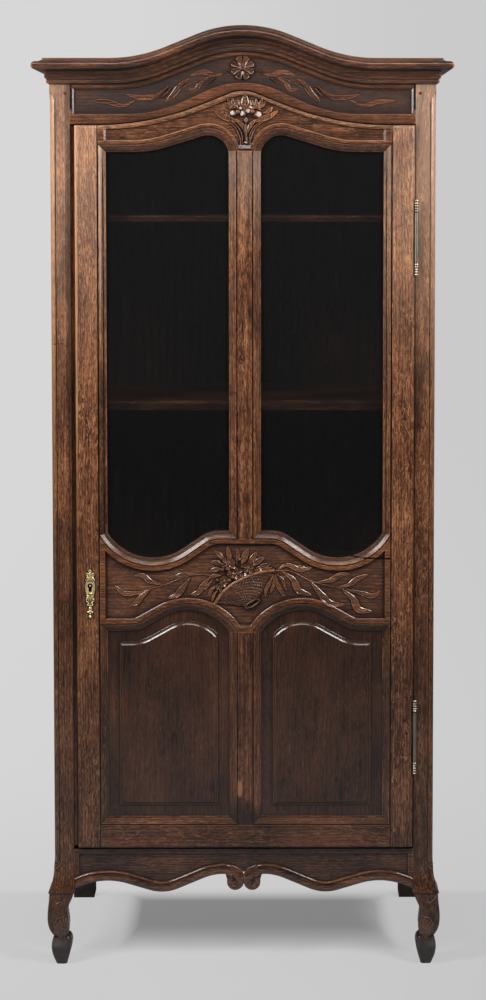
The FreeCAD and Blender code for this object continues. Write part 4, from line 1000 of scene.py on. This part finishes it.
# camera, floor and light
viewPoint = {"place": (0.0745, -4.199, 1.749), "down": 2.9585, "right": 0.1957, "lens": 65.33,
             "shift": (-0.04, -0.2203)}
scene.camera = camera = enter("camera", bpy.data.cameras.new("camera"))
camera.location = viewPoint["place"]
camera.rotation_euler = (radians(90 - viewPoint["down"]), 0, radians(-viewPoint["right"]))
camera.data.sensor_width = 36
camera.data.lens = viewPoint["lens"]
camera.data.shift_x, camera.data.shift_y = viewPoint["shift"]

studio = {
    "floorReach": 12.0,
    # the paper is lighter on the left: painted light
    "paperLeft": (0.68, 0.68, 0.68),
    "paperRight": (0.59, 0.59, 0.59),
    "lamps": [   # place, aimed at, size, watts
        ((-1.65, -1.3, 2.6), (0, -0.15, 2.1), (0.6, 1.2), 84),
        ((1.7, -1.3, 2.55), (0, -0.15, 2.1), (0.6, 1.2), 74),
        ((0.0, -1.65, 3.4), (0, -0.2, 0.8), (1.7, 0.28), 20),
    ],
    "air": (0.07, 0.071, 0.075),
}


def layFloor():
    reach = studio["floorReach"]
    mesh = bpy.data.meshes.new("studio_floor")
    corners = [(-reach, -reach, 0), (reach, -reach, 0), (reach, reach, 0), (-reach, reach, 0)]
    mesh.from_pydata(corners, [], [(0, 1, 2, 3)])
    floor = enter("studio_floor", mesh)
    finish = Finish("studio_paper")
    across, depth = finish.axis("X"), finish.axis("Y")
    away = finish.add("VectorMath", {"operation": "LENGTH"}, {0: finish.place}, out="Value")
    # painted light: the paper lighter on the left; painted shade: darker towards the front
    paper = finish.mix(across.clamp(-1.6, 1.6), studio["paperLeft"], studio["paperRight"])
    paper = finish.mix(depth.clamp(-1.0, 1.4, 0.12, 0.0), paper, (0.0, 0.0, 0.0))
    rays = finish.add("LightPath", out="Is Camera Ray")
    glow = finish.add("Emission", {}, {"Color": paper, "Strength": 1.0})
    finish.set(Base_Color=paper, Roughness=0.9, Specular_IOR_Level=0.1)
    # how much of the glowing paper shows, painted light that lifts the cupboard's shadow: all of it behind the back
    # feet, some in front, least under the cupboard
    behind, front = depth.clamp(0.1, 0.25), depth.clamp(-0.13, 0.03, 0.75, 0.38)
    aside = abs(across - 0.03).clamp(0.235, 0.33, 0.0, 0.8)
    glowShare = away.clamp(0.45, 1.6, 0.0, 1.0)
    for other in (behind, front, aside):
        glowShare = glowShare.calc("MAXIMUM", glowShare, other)
    mixed = finish.add("MixShader", {}, {0: rays * glowShare, 1: Flow(finish, finish.shader.outputs[0]), 2: glow})
    finish.tree.links.new(mixed.socket, finish.tree.nodes["Material Output"].inputs["Surface"])
    mesh.materials.append(finish.owner)


layFloor()
for count, (place, aim, size, watts) in enumerate(studio["lamps"]):
    lamp = bpy.data.lights.new("lamp_%d" % count, "AREA")
    lamp.shape, lamp.size, lamp.size_y, lamp.energy = "RECTANGLE", size[0], size[1], watts
    stand = enter(lamp.name, lamp)
    stand.location = place
    stand.visible_camera = False
    stand.rotation_euler = (Vector(aim) - Vector(place)).to_track_quat("-Z", "Y").to_euler()
air = Finish("studio_air", world=True)
# painted light: the paper lighter on the left
wall = air.mix(air.axis("X").clamp(-0.1, 0.1), studio["paperLeft"], studio["paperRight"])
air.set(Color=air.mix(air.add("LightPath", out="Is Camera Ray"), studio["air"], wall))
scene.world = air.owner
scene.view_settings.view_transform = "Standard"

print("stage ready")
